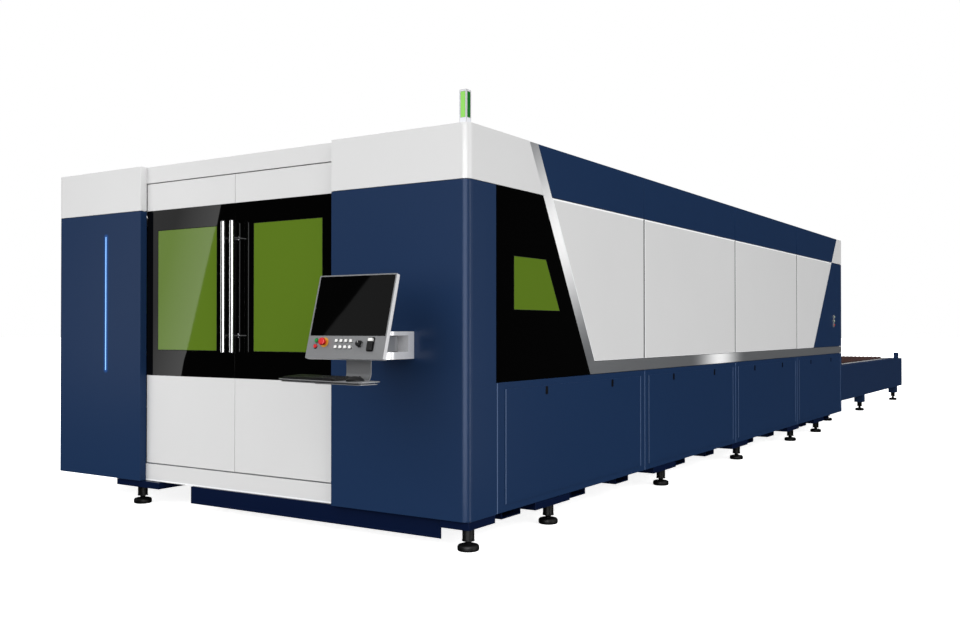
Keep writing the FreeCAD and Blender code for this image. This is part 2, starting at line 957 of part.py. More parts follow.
# levelling feet: a pad, a stem and a hexagonal sleeve under each plate, in few faces as there are many
def levelling_foot(name, x, y, under):
    pad = round_bar(name + "_pad", "foot_pad", (x, y, "0"), "foot_pad_height", sides=12)
    stem_high = f"{under} - foot_sleeve_height"
    stem_length = f"{stem_high} - foot_pad_height"
    stem = round_bar(name + "_stem", "foot_stem", (x, y, "foot_pad_height"), stem_length, sides=6)
    sleeve = round_bar(name + "_sleeve", "foot_sleeve", (x, y, stem_high), "foot_sleeve_height", sides=6)
    return fused(name, pad, stem, sleeve)


feet = []
for number, foot in enumerate(FEET):
    feet.append(levelling_foot(f"foot_{number}", "foot_x", f"front + {foot}", "foot_plate_low"))
feet += [mirrored(foot) for foot in feet[1:]]
feet.append(levelling_foot("foot_left", "-left_foot", "front + foot_one + run_gap", "foot_plate_low"))
for number, leg in enumerate(LEGS):
    foot = levelling_foot(f"leg_foot_{number}", "table_outer - leg_wide / 2", f"rear + {leg}", "leg_low")
    feet += both_sides([foot])
sub_part("leveling_feet", *feet)

# guide rails and racks on top of the bed's side beams
guide = block(
    "guide",
    ("bed_middle - guide_width / 2", "bed_middle + guide_width / 2"),
    ("bed_front", "bed_rear"),
    ("bed_top", "guide_top"),
)
rack = block(
    "rack",
    ("bed_outer - 2 * rack_width", "bed_outer - rack_width"),
    ("bed_front", "bed_rear"),
    ("bed_top", "bed_top + rack_width"),
)
sub_part("bed_guides", *both_sides([guide, rack]))

# gantry: a hollow beam on two trucks, its own guides, the carriage and the cutting head
truck_middle = "(beam_front + beam_back) / 2"
truck = block(
    "truck",
    ("bed_inner + rack_width", "bed_outer - 3 * rack_width / 2"),
    (f"{truck_middle} - truck_length / 2", f"{truck_middle} + truck_length / 2"),
    ("guide_top + run_gap", "beam_low"),
)
beam = box_tube(
    "gantry_tube",
    ("-bed_outer + rack_width", "bed_outer - rack_width"),
    ("beam_front", "beam_back"),
    ("beam_low", "beam_top"),
    "beam_wall",
    "X",
)
sub_part("gantry_beam", beam, *both_sides([truck]))
beam_rails = [
    block(
        f"beam_rail_{name}",
        ("-bed_inner", "bed_inner"),
        ("beam_front - beam_rail", "beam_front"),
        (low, f"{low} + beam_rail"),
    )
    for name, low in (("low", "beam_low + 2 * beam_rail"), ("high", "beam_top - 3 * beam_rail"))
]
sub_part("beam_guides", *beam_rails)
carriage = block(
    "carriage_plate",
    ("-carriage_width / 2", "carriage_width / 2"),
    ("carriage_front", "carriage_back"),
    ("carriage_low", "carriage_high"),
)
sub_part("head_carriage", carriage)
head_body = block(
    "head_body", ("-head_side / 2", "head_side / 2"), ("head_front", "head_back"), ("head_low", "head_high")
)
head_axis = ("0", "(head_front + head_back) / 2")
barrel = round_bar(
    "head_barrel", "head_round", (*head_axis, "tip_at + cone_height"), "head_low - tip_at - cone_height"
)
cone = doc.addObject("Part::Cone", "head_cone")
bind(cone, "Radius1", "tip_round / 2")
bind(cone, "Radius2", "head_round / 2")
bind(cone, "Height", "cone_height")
for axis, place in zip("xyz", (*head_axis, "tip_at")):
    bind(cone, "Placement.Base." + axis, place)
sub_part("cutting_head", fused("head_solid", head_body, barrel, cone))


# doors: folded leaf, dark glass over its middle, green pane and a long tube handle
def door(side):
    if side == "right":
        seam_edge = "bay_middle + door_gap / 2"
        outer_edge = "bay_right - door_gap"
        sign = 1
    else:
        seam_edge = "bay_middle - door_gap / 2"
        outer_edge = "bay_left + door_gap"
        sign = -1
    leaf_x = (seam_edge, outer_edge) if sign > 0 else (outer_edge, seam_edge)
    window_near = f"bay_middle + {sign} * window_side"
    window_far = f"{window_near} + {sign} * window_width"
    window_x = (window_near, window_far) if sign > 0 else (window_far, window_near)
    window_z = ("window_low", "window_low + window_height")

    def grown(span, grow):
        return f"{span[0]} - ({grow})", f"{span[1]} + ({grow})"

    def corners(span_x, span_z):
        return [
            (span_x[0], span_z[0]),
            (span_x[1], span_z[0]),
            (span_x[1], span_z[1]),
            (span_x[0], span_z[1]),
        ]

    leaf = cut(
        block(f"leaf_{side}", leaf_x, ("door_front", "door_back"), ("door_low + run_gap", "door_top")),
        block(
            f"leaf_rebate_{side}",
            grown(leaf_x, "1"),
            ("door_front - 1", "door_front + glass_thick"),
            ("glass_low", "glass_high"),
        ),
        block(
            f"leaf_window_{side}",
            grown(window_x, "-pane_lap"),
            ("door_front - 1", "door_back + 1"),
            grown(window_z, "-pane_lap"),
        ),
    )
    sub_part(f"door_leaf_{side}", leaf)
    hole = corners(grown(window_x, "pane_fit"), grown(window_z, "pane_fit"))
    dark = prism(
        f"dark_glass_{side}",
        "XZ_Plane",
        corners(leaf_x, ("glass_low", "glass_high")),
        "door_front + glass_thick",
        "glass_thick",
        holes=[hole],
    )
    sub_part(f"door_glass_{side}", dark)
    pane = prism(
        f"pane_{side}", "XZ_Plane", corners(window_x, window_z), "door_front + glass_thick", "glass_thick"
    )
    sub_part(f"door_window_{side}", pane)
    handle_x = f"bay_middle + {sign} * handle_side"
    bar_y = "door_front - handle_stand"
    bar = round_bar(f"bar_{side}", "handle_tube", (handle_x, bar_y, "handle_low"), "handle_length")
    studs = [
        round_bar(f"stud_{side}_{n}", "handle_stud", (handle_x, bar_y, z), "handle_stand", "Y", 8)
        for n, z in enumerate(("handle_low + handle_inset", "handle_low + handle_length - handle_inset"))
    ]
    sub_part(f"door_handle_{side}", fused(f"handle_{side}", bar, *studs))


door("left")
door("right")

# rails that the doors hang from and slide on
RAIL_X = ("-half_width + column_radius", "half_width - column_radius")
top_rail = block(
    "door_top_rail",
    RAIL_X,
    ("front + door_recess + pan_depth + seam", "frame_front"),
    ("door_top + run_gap", "roof_low - tube"),
)
low_rail = block(
    "door_low_rail",
    RAIL_X,
    ("door_front + door_gap", "frame_front"),
    ("sill_top", "door_low"),
)
sub_part("door_rails", top_rail, low_rail)

# light strip on the left column and the square tower lamp on the right one
light = block(
    "light",
    ("-half_width + light_at - light_width / 2", "-half_width + light_at + light_width / 2"),
    ("front - sheet", "front"),
    ("light_low", "light_low + light_length"),
)
sub_part("led_strip", light)


def lamp_square(half):
    return (f"lamp_x - ({half})", f"lamp_x + ({half})"), (f"lamp_y - ({half})", f"lamp_y + ({half})")


lamp_pieces = [
    block("lamp_foot", *lamp_square("lamp_side / 2"), ("cabin_top", "lens_low")),
    block("lamp_head", *lamp_square("lamp_side / 2"), ("lens_high", "cabin_top + lamp_height")),
]
for number, (sx, sy) in enumerate(((-1, -1), (-1, 1), (1, -1), (1, 1))):
    centre_x = f"lamp_x + {sx} * (lamp_side - lamp_post) / 2"
    centre_y = f"lamp_y + {sy} * (lamp_side - lamp_post) / 2"
    lamp_pieces.append(
        block(
            f"lamp_post_{number}",
            (f"{centre_x} - lamp_post / 2", f"{centre_x} + lamp_post / 2"),
            (f"{centre_y} - lamp_post / 2", f"{centre_y} + lamp_post / 2"),
            ("lens_low", "lens_high"),
        )
    )
sub_part("lamp_frame", fused("lamp_cage", *lamp_pieces))
OUT = "lamp_side / 2 - run_gap"
IN = "lamp_side / 2 - lamp_post - run_gap"
star = [(IN, OUT), (OUT, IN)]
plus = []
for sx, sy in ((1, 1), (1, -1), (-1, -1), (-1, 1)):
    corner = [(IN, OUT), (IN, IN), (OUT, IN)]
    if sx * sy < 0:
        corner.reverse()
    plus += [(f"lamp_x + {sx} * ({px})", f"lamp_y + {sy} * ({py})") for px, py in corner]
lens = prism("lens", "XY_Plane", plus, "lens_low", "lens_high - lens_low")
sub_part("lamp_lenses", lens)


# pallets: welded frame on wheels and toothed slats that stand across it
def pallet(level, start, drop):
    end = f"{start} + pallet_length"
    low = f"rail_low - {drop}"
    high = f"rail_high - {drop}"
    inner = "half_pallet - pallet_rail"
    side = block(f"{level}_side", (inner, "half_pallet"), (start, end), (low, high))
    wheels = []
    for number in range(WHEELS):
        at = f"{start} + pallet_length * (0.5 + {number}) / {WHEELS}"
        wheel = round_bar(
            f"{level}_wheel_{number}",
            "wheel_round",
            ("half_pallet", at, f"{low} + wheel_round / 2"),
            "wheel_wide",
            "X",
            sides=12,
        )
        wheels.append(wheel)
    frame_pieces = both_sides([side, *wheels])
    for number, at in enumerate((start, f"{end} - pallet_rail")):
        name = f"{level}_end_{number}"
        frame_pieces.append(block(name, (f"-({inner})", inner), (at, f"{at} + pallet_rail"), (low, high)))
    for number in range(1, 6):
        at = f"{start} + {number} * pallet_length / 6"
        name = f"{level}_cross_{number}"
        span = (f"{at} - pallet_rail / 2", f"{at} + pallet_rail / 2")
        frame_pieces.append(block(name, (f"-({inner})", inner), span, (low, f"slat_low - {drop}")))
    sub_part(f"{level}_pallet_frame", *frame_pieces)
    half = f"({inner} - run_gap)"
    outline = [(f"-{half}", f"slat_low - {drop}"), (half, f"slat_low - {drop}")]
    tip = f"slat_top - {drop}"
    valley = f"slat_top - tooth_deep - {drop}"
    for tooth in range(TEETH):
        right = f"{half} * {1 - 2 * tooth / TEETH:.9f}"
        middle = f"{half} * {1 - (2 * tooth + 1) / TEETH:.9f}"
        outline += [(right, valley), (middle, tip)]
    outline.append((f"-{half}", valley))
    slat = prism(f"{level}_slat", "XZ_Plane", outline, f"{start} + pallet_rail + 2 * slat_high", "slat_thick")
    first = slat.Tip
    pattern = slat.newObject("PartDesign::LinearPattern", f"{level}_slats")
    pattern.Originals = [first]
    axis = [part for part in slat.Origin.OriginFeatures if part.Role == "Y_Axis"][0]
    pattern.Direction = (axis, [""])
    bind(pattern, "Length", "pallet_length - 2 * pallet_rail - 4 * slat_high")
    pattern.Occurrences = SLATS
    slat.Tip = pattern
    sub_part(f"{level}_pallet_slats", slat)


pallet("upper", "upper_start", "0")
pallet("lower", "lower_start", "level_drop")

# exchange table: box beams on legs, end beam, cross tubes and the ledges that the wheels run on
table = both_sides(
    [
        box_tube(
            "table_side",
            ("bed_inner", "table_outer"),
            ("table_front", "far_end"),
            ("table_low", "table_high"),
            "table_wall",
            "Y",
        )
    ]
)
table.append(
    block(
        "table_end",
        ("-bed_inner", "bed_inner"),
        ("far_end - pallet_end_gap + track_gap", "far_end"),
        ("table_low", "table_high"),
    )
)
for number, leg in enumerate(LEGS):
    span = (f"rear + {leg} - leg_long / 2", f"rear + {leg} + leg_long / 2")
    table += both_sides(
        [block(f"leg_{number}", ("table_outer - leg_wide", "table_outer"), span, ("leg_low", "table_low"))]
    )
    table.append(
        block(f"table_cross_{number}", ("-bed_inner", "bed_inner"), span, ("table_low", "table_low + leg_wide"))
    )
table += both_sides(
    [
        block(
            "table_post",
            ("table_outer - post_side", "table_outer"),
            ("far_end - post_back", "far_end - post_back + 2 * post_side"),
            ("table_high", "table_high + post_rise"),
        )
    ]
)
table += both_sides(
    [
        block(
            "join_plate",
            ("bed_inner", "bed_inner + table_gap - sheet"),
            ("bed_rear", "table_front"),
            ("slot_low + table_gap", "table_high"),
        )
    ]
)
LEDGE_ENDS = {
    "bed_ledge": ("bed_front + bed_beam", "rear + table_gap / 2"),
    "table_ledge": ("table_front", "far_end - pallet_end_gap"),
}
for name, ends in LEDGE_ENDS.items():
    for level, drop in (("upper", "0"), ("lower", "level_drop")):
        top = f"rail_low - {drop}"
        ledge = block(
            f"{name}_{level}",
            ("half_pallet + sheet", "bed_inner"),
            ends,
            (f"{top} - track_thick - run_gap", f"{top} - run_gap"),
        )
        table += both_sides([ledge])
sub_part("table_frame", *table)

# gearmotor that drives the pallets, on the middle cross tube
drive_y = f"rear + leg_two + leg_long / 2"
gearbox = block(
    "gearbox",
    ("-leg_wide / 2", "leg_wide / 2"),
    (drive_y, f"{drive_y} + leg_wide"),
    ("table_low", "table_low + leg_wide"),
)
motor = round_bar(
    "motor",
    "leg_wide - 10",
    ("leg_wide / 2", f"{drive_y} + leg_wide / 2", "table_low + leg_wide / 2"),
    "2 * leg_wide",
    "X",
    sides=16,
)
sub_part("table_drive", fused("gearmotor", gearbox, motor))


# console: tilted housing, screen and controls, all placed together on the housing's front face
def on_console(label, *pieces):
    piece = sub_part(label, doc.addObject("Part::Compound", label + "_group"))
    piece.Links = list(pieces)
    piece.Placement.Rotation = FreeCAD.Rotation(FreeCAD.Vector(1, 0, 0), -1)
    for axis, place in zip("xyz", ("console_x", "console_y", "console_z")):
        bind(piece, "Placement.Base." + axis, place)
    bind(piece, "Placement.Rotation.Angle", "console_tilt")
    piece.Placement.Rotation.Axis = FreeCAD.Vector(-1, 0, 0)
    return piece


def centred(span):
    return f"-({span}) / 2", f"({span}) / 2"


bezel = prism(
    "bezel",
    "XZ_Plane",
    [
        ("-console_width / 2", "-console_height / 2"),
        ("console_width / 2", "-console_height / 2"),
        ("console_width / 2", "console_height / 2"),
        ("-console_width / 2", "console_height / 2"),
    ],
    "bezel_deep",
    "bezel_deep",
)
rounded(bezel, (0, 1, 0), "shell_inset / 2")
SCREEN_LOW = "console_height / 2 - screen_margin - screen_height"
recess = block(
    "screen_recess",
    centred("screen_width + 2 * run_gap"),
    ("-1", "screen_thick"),
    (f"{SCREEN_LOW} - run_gap", f"{SCREEN_LOW} + screen_height + run_gap"),
)
shell = block(
    "rear_shell",
    centred("console_width - 2 * shell_inset"),
    ("bezel_deep", "shell_back"),
    ("-console_height / 2 + shell_inset / 2", "console_height / 2 - shell_inset"),
)
screen = block(
    "screen", centred("screen_width"), ("0", "screen_thick"), (SCREEN_LOW, f"{SCREEN_LOW} + screen_height")
)
LEFT = "-console_width / 2"
LOW = "-console_height / 2"
pockets = [recess]


def pressed(label, across, up, wide, out, sides=0):
    """A round control that slides into a pocket of the panel, a hair wider than its stem."""
    x, z = f"{LEFT} + {across}", f"{LOW} + {up}"
    pockets.append(
        round_bar(
            label + "_pocket",
            f"{wide} + 2 * control_gap",
            (x, "-1", z),
            "1 + press_travel + 2 * control_gap",
            "Y",
        )
    )
    return round_bar(label + "_stem", wide, (x, f"-({out})", z), f"{out} + control_gap", "Y", sides)


on_console("start_button", pressed("start_button", "start_across", "start_up", "button_round", "button_out"))
on_console("stop_button", pressed("stop_button", "stop_across", "stop_up", "button_round", "button_out"))
stalk = pressed("estop_button", "estop_across", "estop_up", "button_round", "estop_out / 2", sides=12)
mushroom = round_bar(
    "estop_head",
    "estop_round",
    (f"{LEFT} + estop_across", "-estop_out", f"{LOW} + estop_up"),
    "estop_out / 2",
    "Y",
)
on_console("estop_button", fused("estop_solid", stalk, mushroom))
knob_at = (f"{LEFT} + knob_across", "-control_gap - knob_out", f"{LOW} + knob_up")
on_console("feed_knob", round_bar("knob_cap", "knob_round", knob_at, "knob_out", "Y"))


def square_control(label, across, up, width, height, span, room):
    """A rectangular control in a pocket of the panel; span is its front and back, room its slack."""
    x, z = f"{LEFT} + {across}", f"{LOW} + {up}"
    deep, slack = room
    half, tall = f"{width} / 2", f"{height} / 2"
    pockets.append(
        block(
            label + "_pocket",
            (f"{x} - {half} - {slack}", f"{x} + {half} + {slack}"),
            ("-1", deep),
            (f"{z} - {tall} - 2 * {slack}", f"{z} + {tall} + 2 * {slack}"),
        )
    )
    cap = block(label + "_cap", (f"{x} - {half}", f"{x} + {half}"), span, (f"{z} - {tall}", f"{z} + {tall}"))
    on_console(label, cap)


square_control(
    "mode_switch",
    "switch_across",
    "switch_up",
    "switch_width",
    "switch_height",
    ("rocker_deep - switch_out", "rocker_deep"),
    ("rocker_room", "control_gap"),
)
for row_name, up in (("upper", "key_up_high"), ("lower", "key_up_low")):
    for number in range(KEYS):
        square_control(
            f"{row_name}_key_{number + 1}",
            f"key_first + {number} * key_pitch",
            up,
            "key_side",
            "key_side",
            ("-key_out", "control_gap"),
            ("press_travel + 2 * control_gap", "control_gap"),
        )
on_console("console_display", screen)
on_console("console_housing", cut(bezel, *pockets), shell)

# bracket on the column, its pin, and the arm that turns on the pin and carries the console
BRACKET_X = ("console_x - bracket_width / 2", "console_x + bracket_width / 2")
bracket = prism(
    "bracket_block",
    "XY_Plane",
    [
        (BRACKET_X[0], "front - bracket_deep"),
        (BRACKET_X[1], "front - bracket_deep"),
        (BRACKET_X[1], "front"),
        (BRACKET_X[0], "front"),
    ],
    "bracket_low",
    "bracket_high - bracket_low",
)
rounded(bracket, (0, 0, 1), "bracket_radius", key=lambda at: -at.y, count=2)
mouth = block(
    "bracket_mouth",
    (f"{BRACKET_X[0]} - 1", f"{BRACKET_X[1]} + 1"),
    ("front - bracket_deep - 1", "front - bracket_back"),
    ("bracket_low + lug_bottom", "bracket_high - lug_top"),
)
pin_hole = round_bar(
    "pin_hole", "pin_round + 2 * pin_fit", ("console_x", "pivot_y", "bracket_low - 1"), "bracket_high"
)
sub_part("console_bracket", cut(bracket, mouth, pin_hole))
pin = round_bar(
    "pin", "pin_round", ("console_x", "pivot_y", "bracket_low"), "bracket_high - bracket_low"
)
sub_part("bracket_pin", pin)
knuckle = round_bar("knuckle", "knuckle_round", ("console_x", "pivot_y", "arm_low"), "arm_high - arm_low")


def behind_housing(z):
    """How far out the back of the tilted housing is at a height."""
    return f"housing_y + (({z}) - arm_z) * tan(console_tilt) + control_gap"


arm_bar = prism(
    "arm_bar",
    "YZ_Plane",
    [
        (behind_housing("arm_low"), "arm_low"),
        ("pivot_y", "arm_low"),
        ("pivot_y", "arm_high"),
        (behind_housing("arm_high"), "arm_high"),
    ],
    "console_x - arm_width / 2",
    "arm_width",
)
arm_hole = round_bar(
    "arm_hole", "pin_round + 2 * pin_fit", ("console_x", "pivot_y", "bracket_low - 1"), "bracket_high"
)
arm_solid = cut(fused("arm_solid", knuckle, arm_bar), arm_hole)
sub_part("console_arm", arm_solid)

# bent holder under the arm, and the tray on it, turned a little towards the operator
holder_low = "tray_low - holder_thick"
holder = prism(
    "holder",
    "YZ_Plane",
    [
        ("tray_y - tray_inset", holder_low),
        ("holder_y", holder_low),
        ("holder_y", "arm_low"),
        ("holder_y - holder_thick", "arm_low"),
        ("holder_y - holder_thick", "tray_low"),
        ("tray_y - tray_inset", "tray_low"),
    ],
    "console_x - holder_width / 2",
    "holder_width",
)
rounded(holder, (1, 0, 0), "holder_radius", key=lambda at: at.y - at.z, count=1)
rounded(holder, (1, 0, 0), "holder_radius - holder_thick", key=lambda at: at.y - at.z, count=1)


def on_tray(label, *pieces):
    """Pieces drawn about the tray's middle, placed and turned together."""
    group = doc.addObject("Part::Compound", label + "_turned")
    group.Links = list(pieces)
    group.Placement.Rotation = FreeCAD.Rotation(FreeCAD.Vector(0, 0, -1), 1)
    for axis, place in zip("xyz", ("tray_x", "tray_y", "tray_top")):
        bind(group, "Placement.Base." + axis, place)
    bind(group, "Placement.Rotation.Angle", "tray_turn")
    group.Placement.Rotation.Axis = FreeCAD.Vector(0, 0, -1)
    return group


def tray_layer(name, inset, top, thick):
    half, deep = f"tray_width / 2 - {inset}", f"tray_deep / 2 - {inset}"
    outline = [(f"-({half})", f"-({deep})"), (half, f"-({deep})"), (half, deep), (f"-({half})", deep)]
    return rounded(prism(name, "XY_Plane", outline, top, thick), (0, 0, 1), f"tray_radius - {inset}")


tray_top_plate = tray_layer("tray_top_plate", "0", "-tray_thick", "tray_thick")
tray_low_plate = tray_layer("tray_low_plate", "tray_inset / 2", "-4 * tray_thick", "tray_thick")
tray_core = block(
    "tray_core",
    centred("tray_width - 4 * tray_inset"),
    centred("tray_deep - 4 * tray_inset"),
    ("-3 * tray_thick", "-tray_thick"),
)
sub_part("keyboard_tray", on_tray("tray", tray_top_plate, tray_core, tray_low_plate), holder)
KEYS_LEFT = "-tray_width / 2 + tray_inset"
KEYS_FRONT = "-keyboard_deep / 2"
keyboard_slab = prism(
    "keyboard_slab",
    "YZ_Plane",
    [
        (KEYS_FRONT, "0"),
        (f"{KEYS_FRONT} + keyboard_deep", "0"),
        (f"{KEYS_FRONT} + keyboard_deep", "keyboard_thick * 1.5"),
        (KEYS_FRONT, "keyboard_thick * 0.6"),
    ],
    KEYS_LEFT,
    "keyboard_width",
)
sub_part("keyboard", on_tray("keyboard", keyboard_slab))
mouse_x = "tray_width / 2 - mouse_inset - mouse_long / 2"
ring = [2 * math.pi * (n + 0.5) / MOUSE_SIDES for n in range(MOUSE_SIDES)]
mouse_plan = prism(
    "mouse_plan",
    "XY_Plane",
    [
        (f"{mouse_x} + mouse_width / 2 * {math.cos(turn):.9f}", f"mouse_long / 2 * {math.sin(turn):.9f}")
        for turn in ring
    ],
    "0",
    "mouse_high",
)
mouse_side = prism(
    "mouse_side",
    "YZ_Plane",
    [(f"mouse_long * {along}", f"mouse_high * {up}") for along, up in MOUSE_BACK],
    f"{mouse_x} - mouse_width",
    "2 * mouse_width",
)
mouse_solid = doc.addObject("Part::Common", "mouse_solid")
mouse_solid.Base = mouse_plan
mouse_solid.Tool = mouse_side
sub_part("mouse", on_tray("mouse", mouse_solid))

# small button station on the rear right panel, its three buttons part of it
STATION_Y = ("rear - station_back - station_width / 2", "rear - station_back + station_width / 2")
station = [
    block(
        "station_plate",
        ("skin", "half_width - sheet"),
        STATION_Y,
        ("station_z - station_height / 2", "station_z + station_height / 2"),
    )
]
for number in (-1, 0, 1):
    station.append(
        round_bar(
            f"station_button_{number + 1}",
            "button_round",
            ("skin", "rear - station_back", f"station_z + {number} * station_height / 3"),
            "proud",
            "X",
            sides=12,
        )
    )
sub_part("rear_button_box", fused("station", *station))

doc.recompute()
for thing in doc.Objects:
    if {"Invalid", "Error"} & set(thing.State):
        raise RuntimeError(f"{thing.Label} did not recompute: {thing.State}")
os.makedirs("parts", exist_ok=True)
for piece in SUB_PARTS:
    if piece.Shape.isNull() or not piece.Shape.isValid():
        raise RuntimeError(f"{piece.Label} has no valid shape")
    piece.Shape.exportStep(f"parts/{piece.Label}.step")
print(len(SUB_PARTS), "sub-parts written")
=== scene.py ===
"""The enclosed laser cutting machine and its exchange table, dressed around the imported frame.

Metres. +Z is up, +Y runs from the doors along the machine to the exchange table, +X to the right.
Shapes are drawn in millimetres about a place of their own and then set on the machine.
"""

import json
import math

import bmesh
import bpy
from mathutils import Matrix, Vector

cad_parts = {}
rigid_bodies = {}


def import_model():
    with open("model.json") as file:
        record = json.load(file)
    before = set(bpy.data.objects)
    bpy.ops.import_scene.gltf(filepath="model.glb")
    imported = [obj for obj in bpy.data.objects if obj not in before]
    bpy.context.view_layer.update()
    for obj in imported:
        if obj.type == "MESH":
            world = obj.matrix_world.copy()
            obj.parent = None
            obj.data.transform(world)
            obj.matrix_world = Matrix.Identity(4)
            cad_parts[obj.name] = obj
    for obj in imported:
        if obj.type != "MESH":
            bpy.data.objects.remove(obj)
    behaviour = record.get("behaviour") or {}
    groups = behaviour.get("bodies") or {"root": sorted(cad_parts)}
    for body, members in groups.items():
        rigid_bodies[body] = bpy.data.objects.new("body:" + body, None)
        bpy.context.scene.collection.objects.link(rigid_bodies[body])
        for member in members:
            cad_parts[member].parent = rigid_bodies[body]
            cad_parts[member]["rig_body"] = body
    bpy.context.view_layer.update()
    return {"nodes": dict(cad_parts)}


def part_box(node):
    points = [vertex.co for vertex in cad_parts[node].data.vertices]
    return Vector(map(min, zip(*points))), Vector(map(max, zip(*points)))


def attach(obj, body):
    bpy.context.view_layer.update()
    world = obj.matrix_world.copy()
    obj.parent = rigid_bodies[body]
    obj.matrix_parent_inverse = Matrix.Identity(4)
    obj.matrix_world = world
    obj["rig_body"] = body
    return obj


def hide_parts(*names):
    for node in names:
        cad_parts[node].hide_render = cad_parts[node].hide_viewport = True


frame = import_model()
MM = 0.001

# Camera. It stands in front of the right-hand corner at eye level and looks along the doors and the
# side at once, as the photograph was taken. Its place is given from the corner of the cabin.
COVERS_LOW, COVERS_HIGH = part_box("column_covers")
HALF_WIDTH = COVERS_HIGH[0]
FRONT = COVERS_LOW[1]
CAMERA_PLACE = Vector((HALF_WIDTH + 2.9206, FRONT - 4.3886, 1.2023))
camera_data = bpy.data.cameras.new("camera")
camera_data.lens = 36.842
camera_data.sensor_width = 36
camera_data.clip_end = 200
camera = bpy.data.objects.new("camera", camera_data)
camera.location = CAMERA_PLACE
camera.rotation_euler = (math.radians(90.527), 0, math.radians(32.947))
bpy.context.scene.collection.objects.link(camera)
bpy.context.scene.camera = camera
bpy.context.scene.view_settings.view_transform = "Standard"


# Studio floor and light. The floor is a pale seamless sweep, lit into the backdrop, and gives the
# machine no light from below. The room glows from above, and cards stand where metal mirrors them.
def to_linear(colour):
    """sRGB hex to linear RGBA."""
    channels = [int(colour[n : n + 2], 16) / 255 for n in (1, 3, 5)]
    return (*[c / 12.92 if c <= 0.04045 else ((c + 0.055) / 1.055) ** 2.4 for c in channels], 1)


def add_node(owner, kind, inputs=(), **settings):
    """Adds one shader node: its settings, and for each socket a value or what feeds it."""
    tree = owner.node_tree
    made = tree.nodes.new(kind)
    for name, value in settings.items():
        setattr(made, name, value)
    for socket, value in dict(inputs).items():
        if isinstance(value, bpy.types.Node):
            value = value.outputs[0]
        if isinstance(value, bpy.types.NodeSocket):
            tree.links.new(value, made.inputs[socket])
        else:
            made.inputs[socket].default_value = value
    return made


def new_material(name):
    """An empty node material; the caller adds its shader and its output."""
    material = bpy.data.materials.new(name)
    material.use_nodes = True
    material.node_tree.nodes.clear()
    return material


def show(material, inputs):
    """Gives a material its surface, a principled shader with these inputs."""
    shader = add_node(material, "ShaderNodeBsdfPrincipled", inputs)
    add_node(material, "ShaderNodeOutputMaterial", {"Surface": shader})
    return material


# Degrees from which an edge stays sharp.
SHARP_FROM = 35


def new_piece(name, mesh, material, body, replaces=(), place=None):
    """Turns a bmesh into a piece that rides on a body; place sets it on the machine."""
    if place is not None:
        bmesh.ops.transform(mesh, matrix=place, verts=mesh.verts)
    data = bpy.data.meshes.new(name)
    mesh.to_mesh(data)
    mesh.free()
    data.polygons.foreach_set("use_smooth", [True] * len(data.polygons))
    data.set_sharp_from_angle(angle=math.radians(SHARP_FROM))
    for one in material if isinstance(material, list) else [material]:
        data.materials.append(one)
    piece = bpy.data.objects.new(name, data)
    bpy.context.scene.collection.objects.link(piece)
    flat = piece.modifiers.new("flat_faces_stay_flat", "WEIGHTED_NORMAL")
    flat.keep_sharp = True
    if body:
        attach(piece, body)
    if body == "console":
        unlit_near.objects.link(piece)
    if replaces:
        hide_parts(*replaces)
    return piece


floor_material = new_material("white_studio_floor")
show(
    floor_material,
    {
        "Base Color": to_linear("#f4f4f4"),
        "Roughness": 0.9,
        "Specular IOR Level": 0.0,
        "Emission Color": to_linear("#ffffff"),
        "Emission Strength": 0.85,
    },
)
floor_mesh = bmesh.new()
bmesh.ops.create_grid(floor_mesh, x_segments=1, y_segments=1, size=120)
floor = new_piece("floor", floor_mesh, floor_material, body=None)
floor.visible_diffuse = False
floor.visible_glossy = False
floor.visible_shadow = False

world = bpy.data.worlds.new("studio")
world.use_nodes = True
bpy.context.scene.world = world
world.node_tree.nodes.clear()
rays = add_node(world, "ShaderNodeLightPath")
heading = add_node(world, "ShaderNodeTexCoord").outputs["Generated"]
rise = add_node(world, "ShaderNodeSeparateXYZ", {0: heading}).outputs["Z"]


def sky(low, high, start, end):
    """Room light whose strength grows from low to high between two slopes of its direction."""
    strength = add_node(
        world,
        "ShaderNodeMapRange",
        {"Value": rise, "From Min": start, "From Max": end, "To Min": low, "To Max": high},
    )
    return add_node(
        world, "ShaderNodeBackground", {"Color": to_linear("#ffffff"), "Strength": strength}
    )


room_glow = sky(low=0.2, high=1.0, start=-0.3, end=0.35)
mirrored_room = sky(low=0.02, high=0.9, start=0.45, end=0.9)
backdrop = add_node(world, "ShaderNodeBackground", {"Color": to_linear("#ffffff"), "Strength": 1.0})
for_gloss = add_node(
    world, "ShaderNodeMixShader", {0: rays.outputs["Is Glossy Ray"], 1: room_glow, 2: mirrored_room}
)
for_view = add_node(
    world, "ShaderNodeMixShader", {0: rays.outputs["Is Camera Ray"], 1: for_gloss, 2: backdrop}
)
add_node(world, "ShaderNodeOutputWorld", {"Surface": for_view})


def add_sun(name, strength, toward, spread):
    """A soft directional light; toward is the direction that it shines in."""
    data = bpy.data.lights.new(name, "SUN")
    data.energy = strength
    data.angle = math.radians(spread)
    sun = bpy.data.objects.new(name, data)
    sun.rotation_euler = Vector(toward).to_track_quat("-Z", "Y").to_euler()
    sun.visible_glossy = False
    bpy.context.scene.collection.objects.link(sun)


add_sun("top_light", strength=0.6, toward=(0, 0, -1), spread=80)
add_sun("front_fill", strength=1.3, toward=(0.35, 0.9, -0.3), spread=60)
add_sun("side_fill", strength=1.3, toward=(-0.95, 0.2, -0.3), spread=60)


def mirrored_at(at, origin, facing, out):
    """Where the camera sees, mirrored at a place on a flat pane, what stands out in front of it."""
    behind = CAMERA_PLACE - 2 * (CAMERA_PLACE - origin).dot(facing) * facing
    ray = at - behind
    return behind + ray * (out - (behind - origin).dot(facing)) / ray.dot(facing)


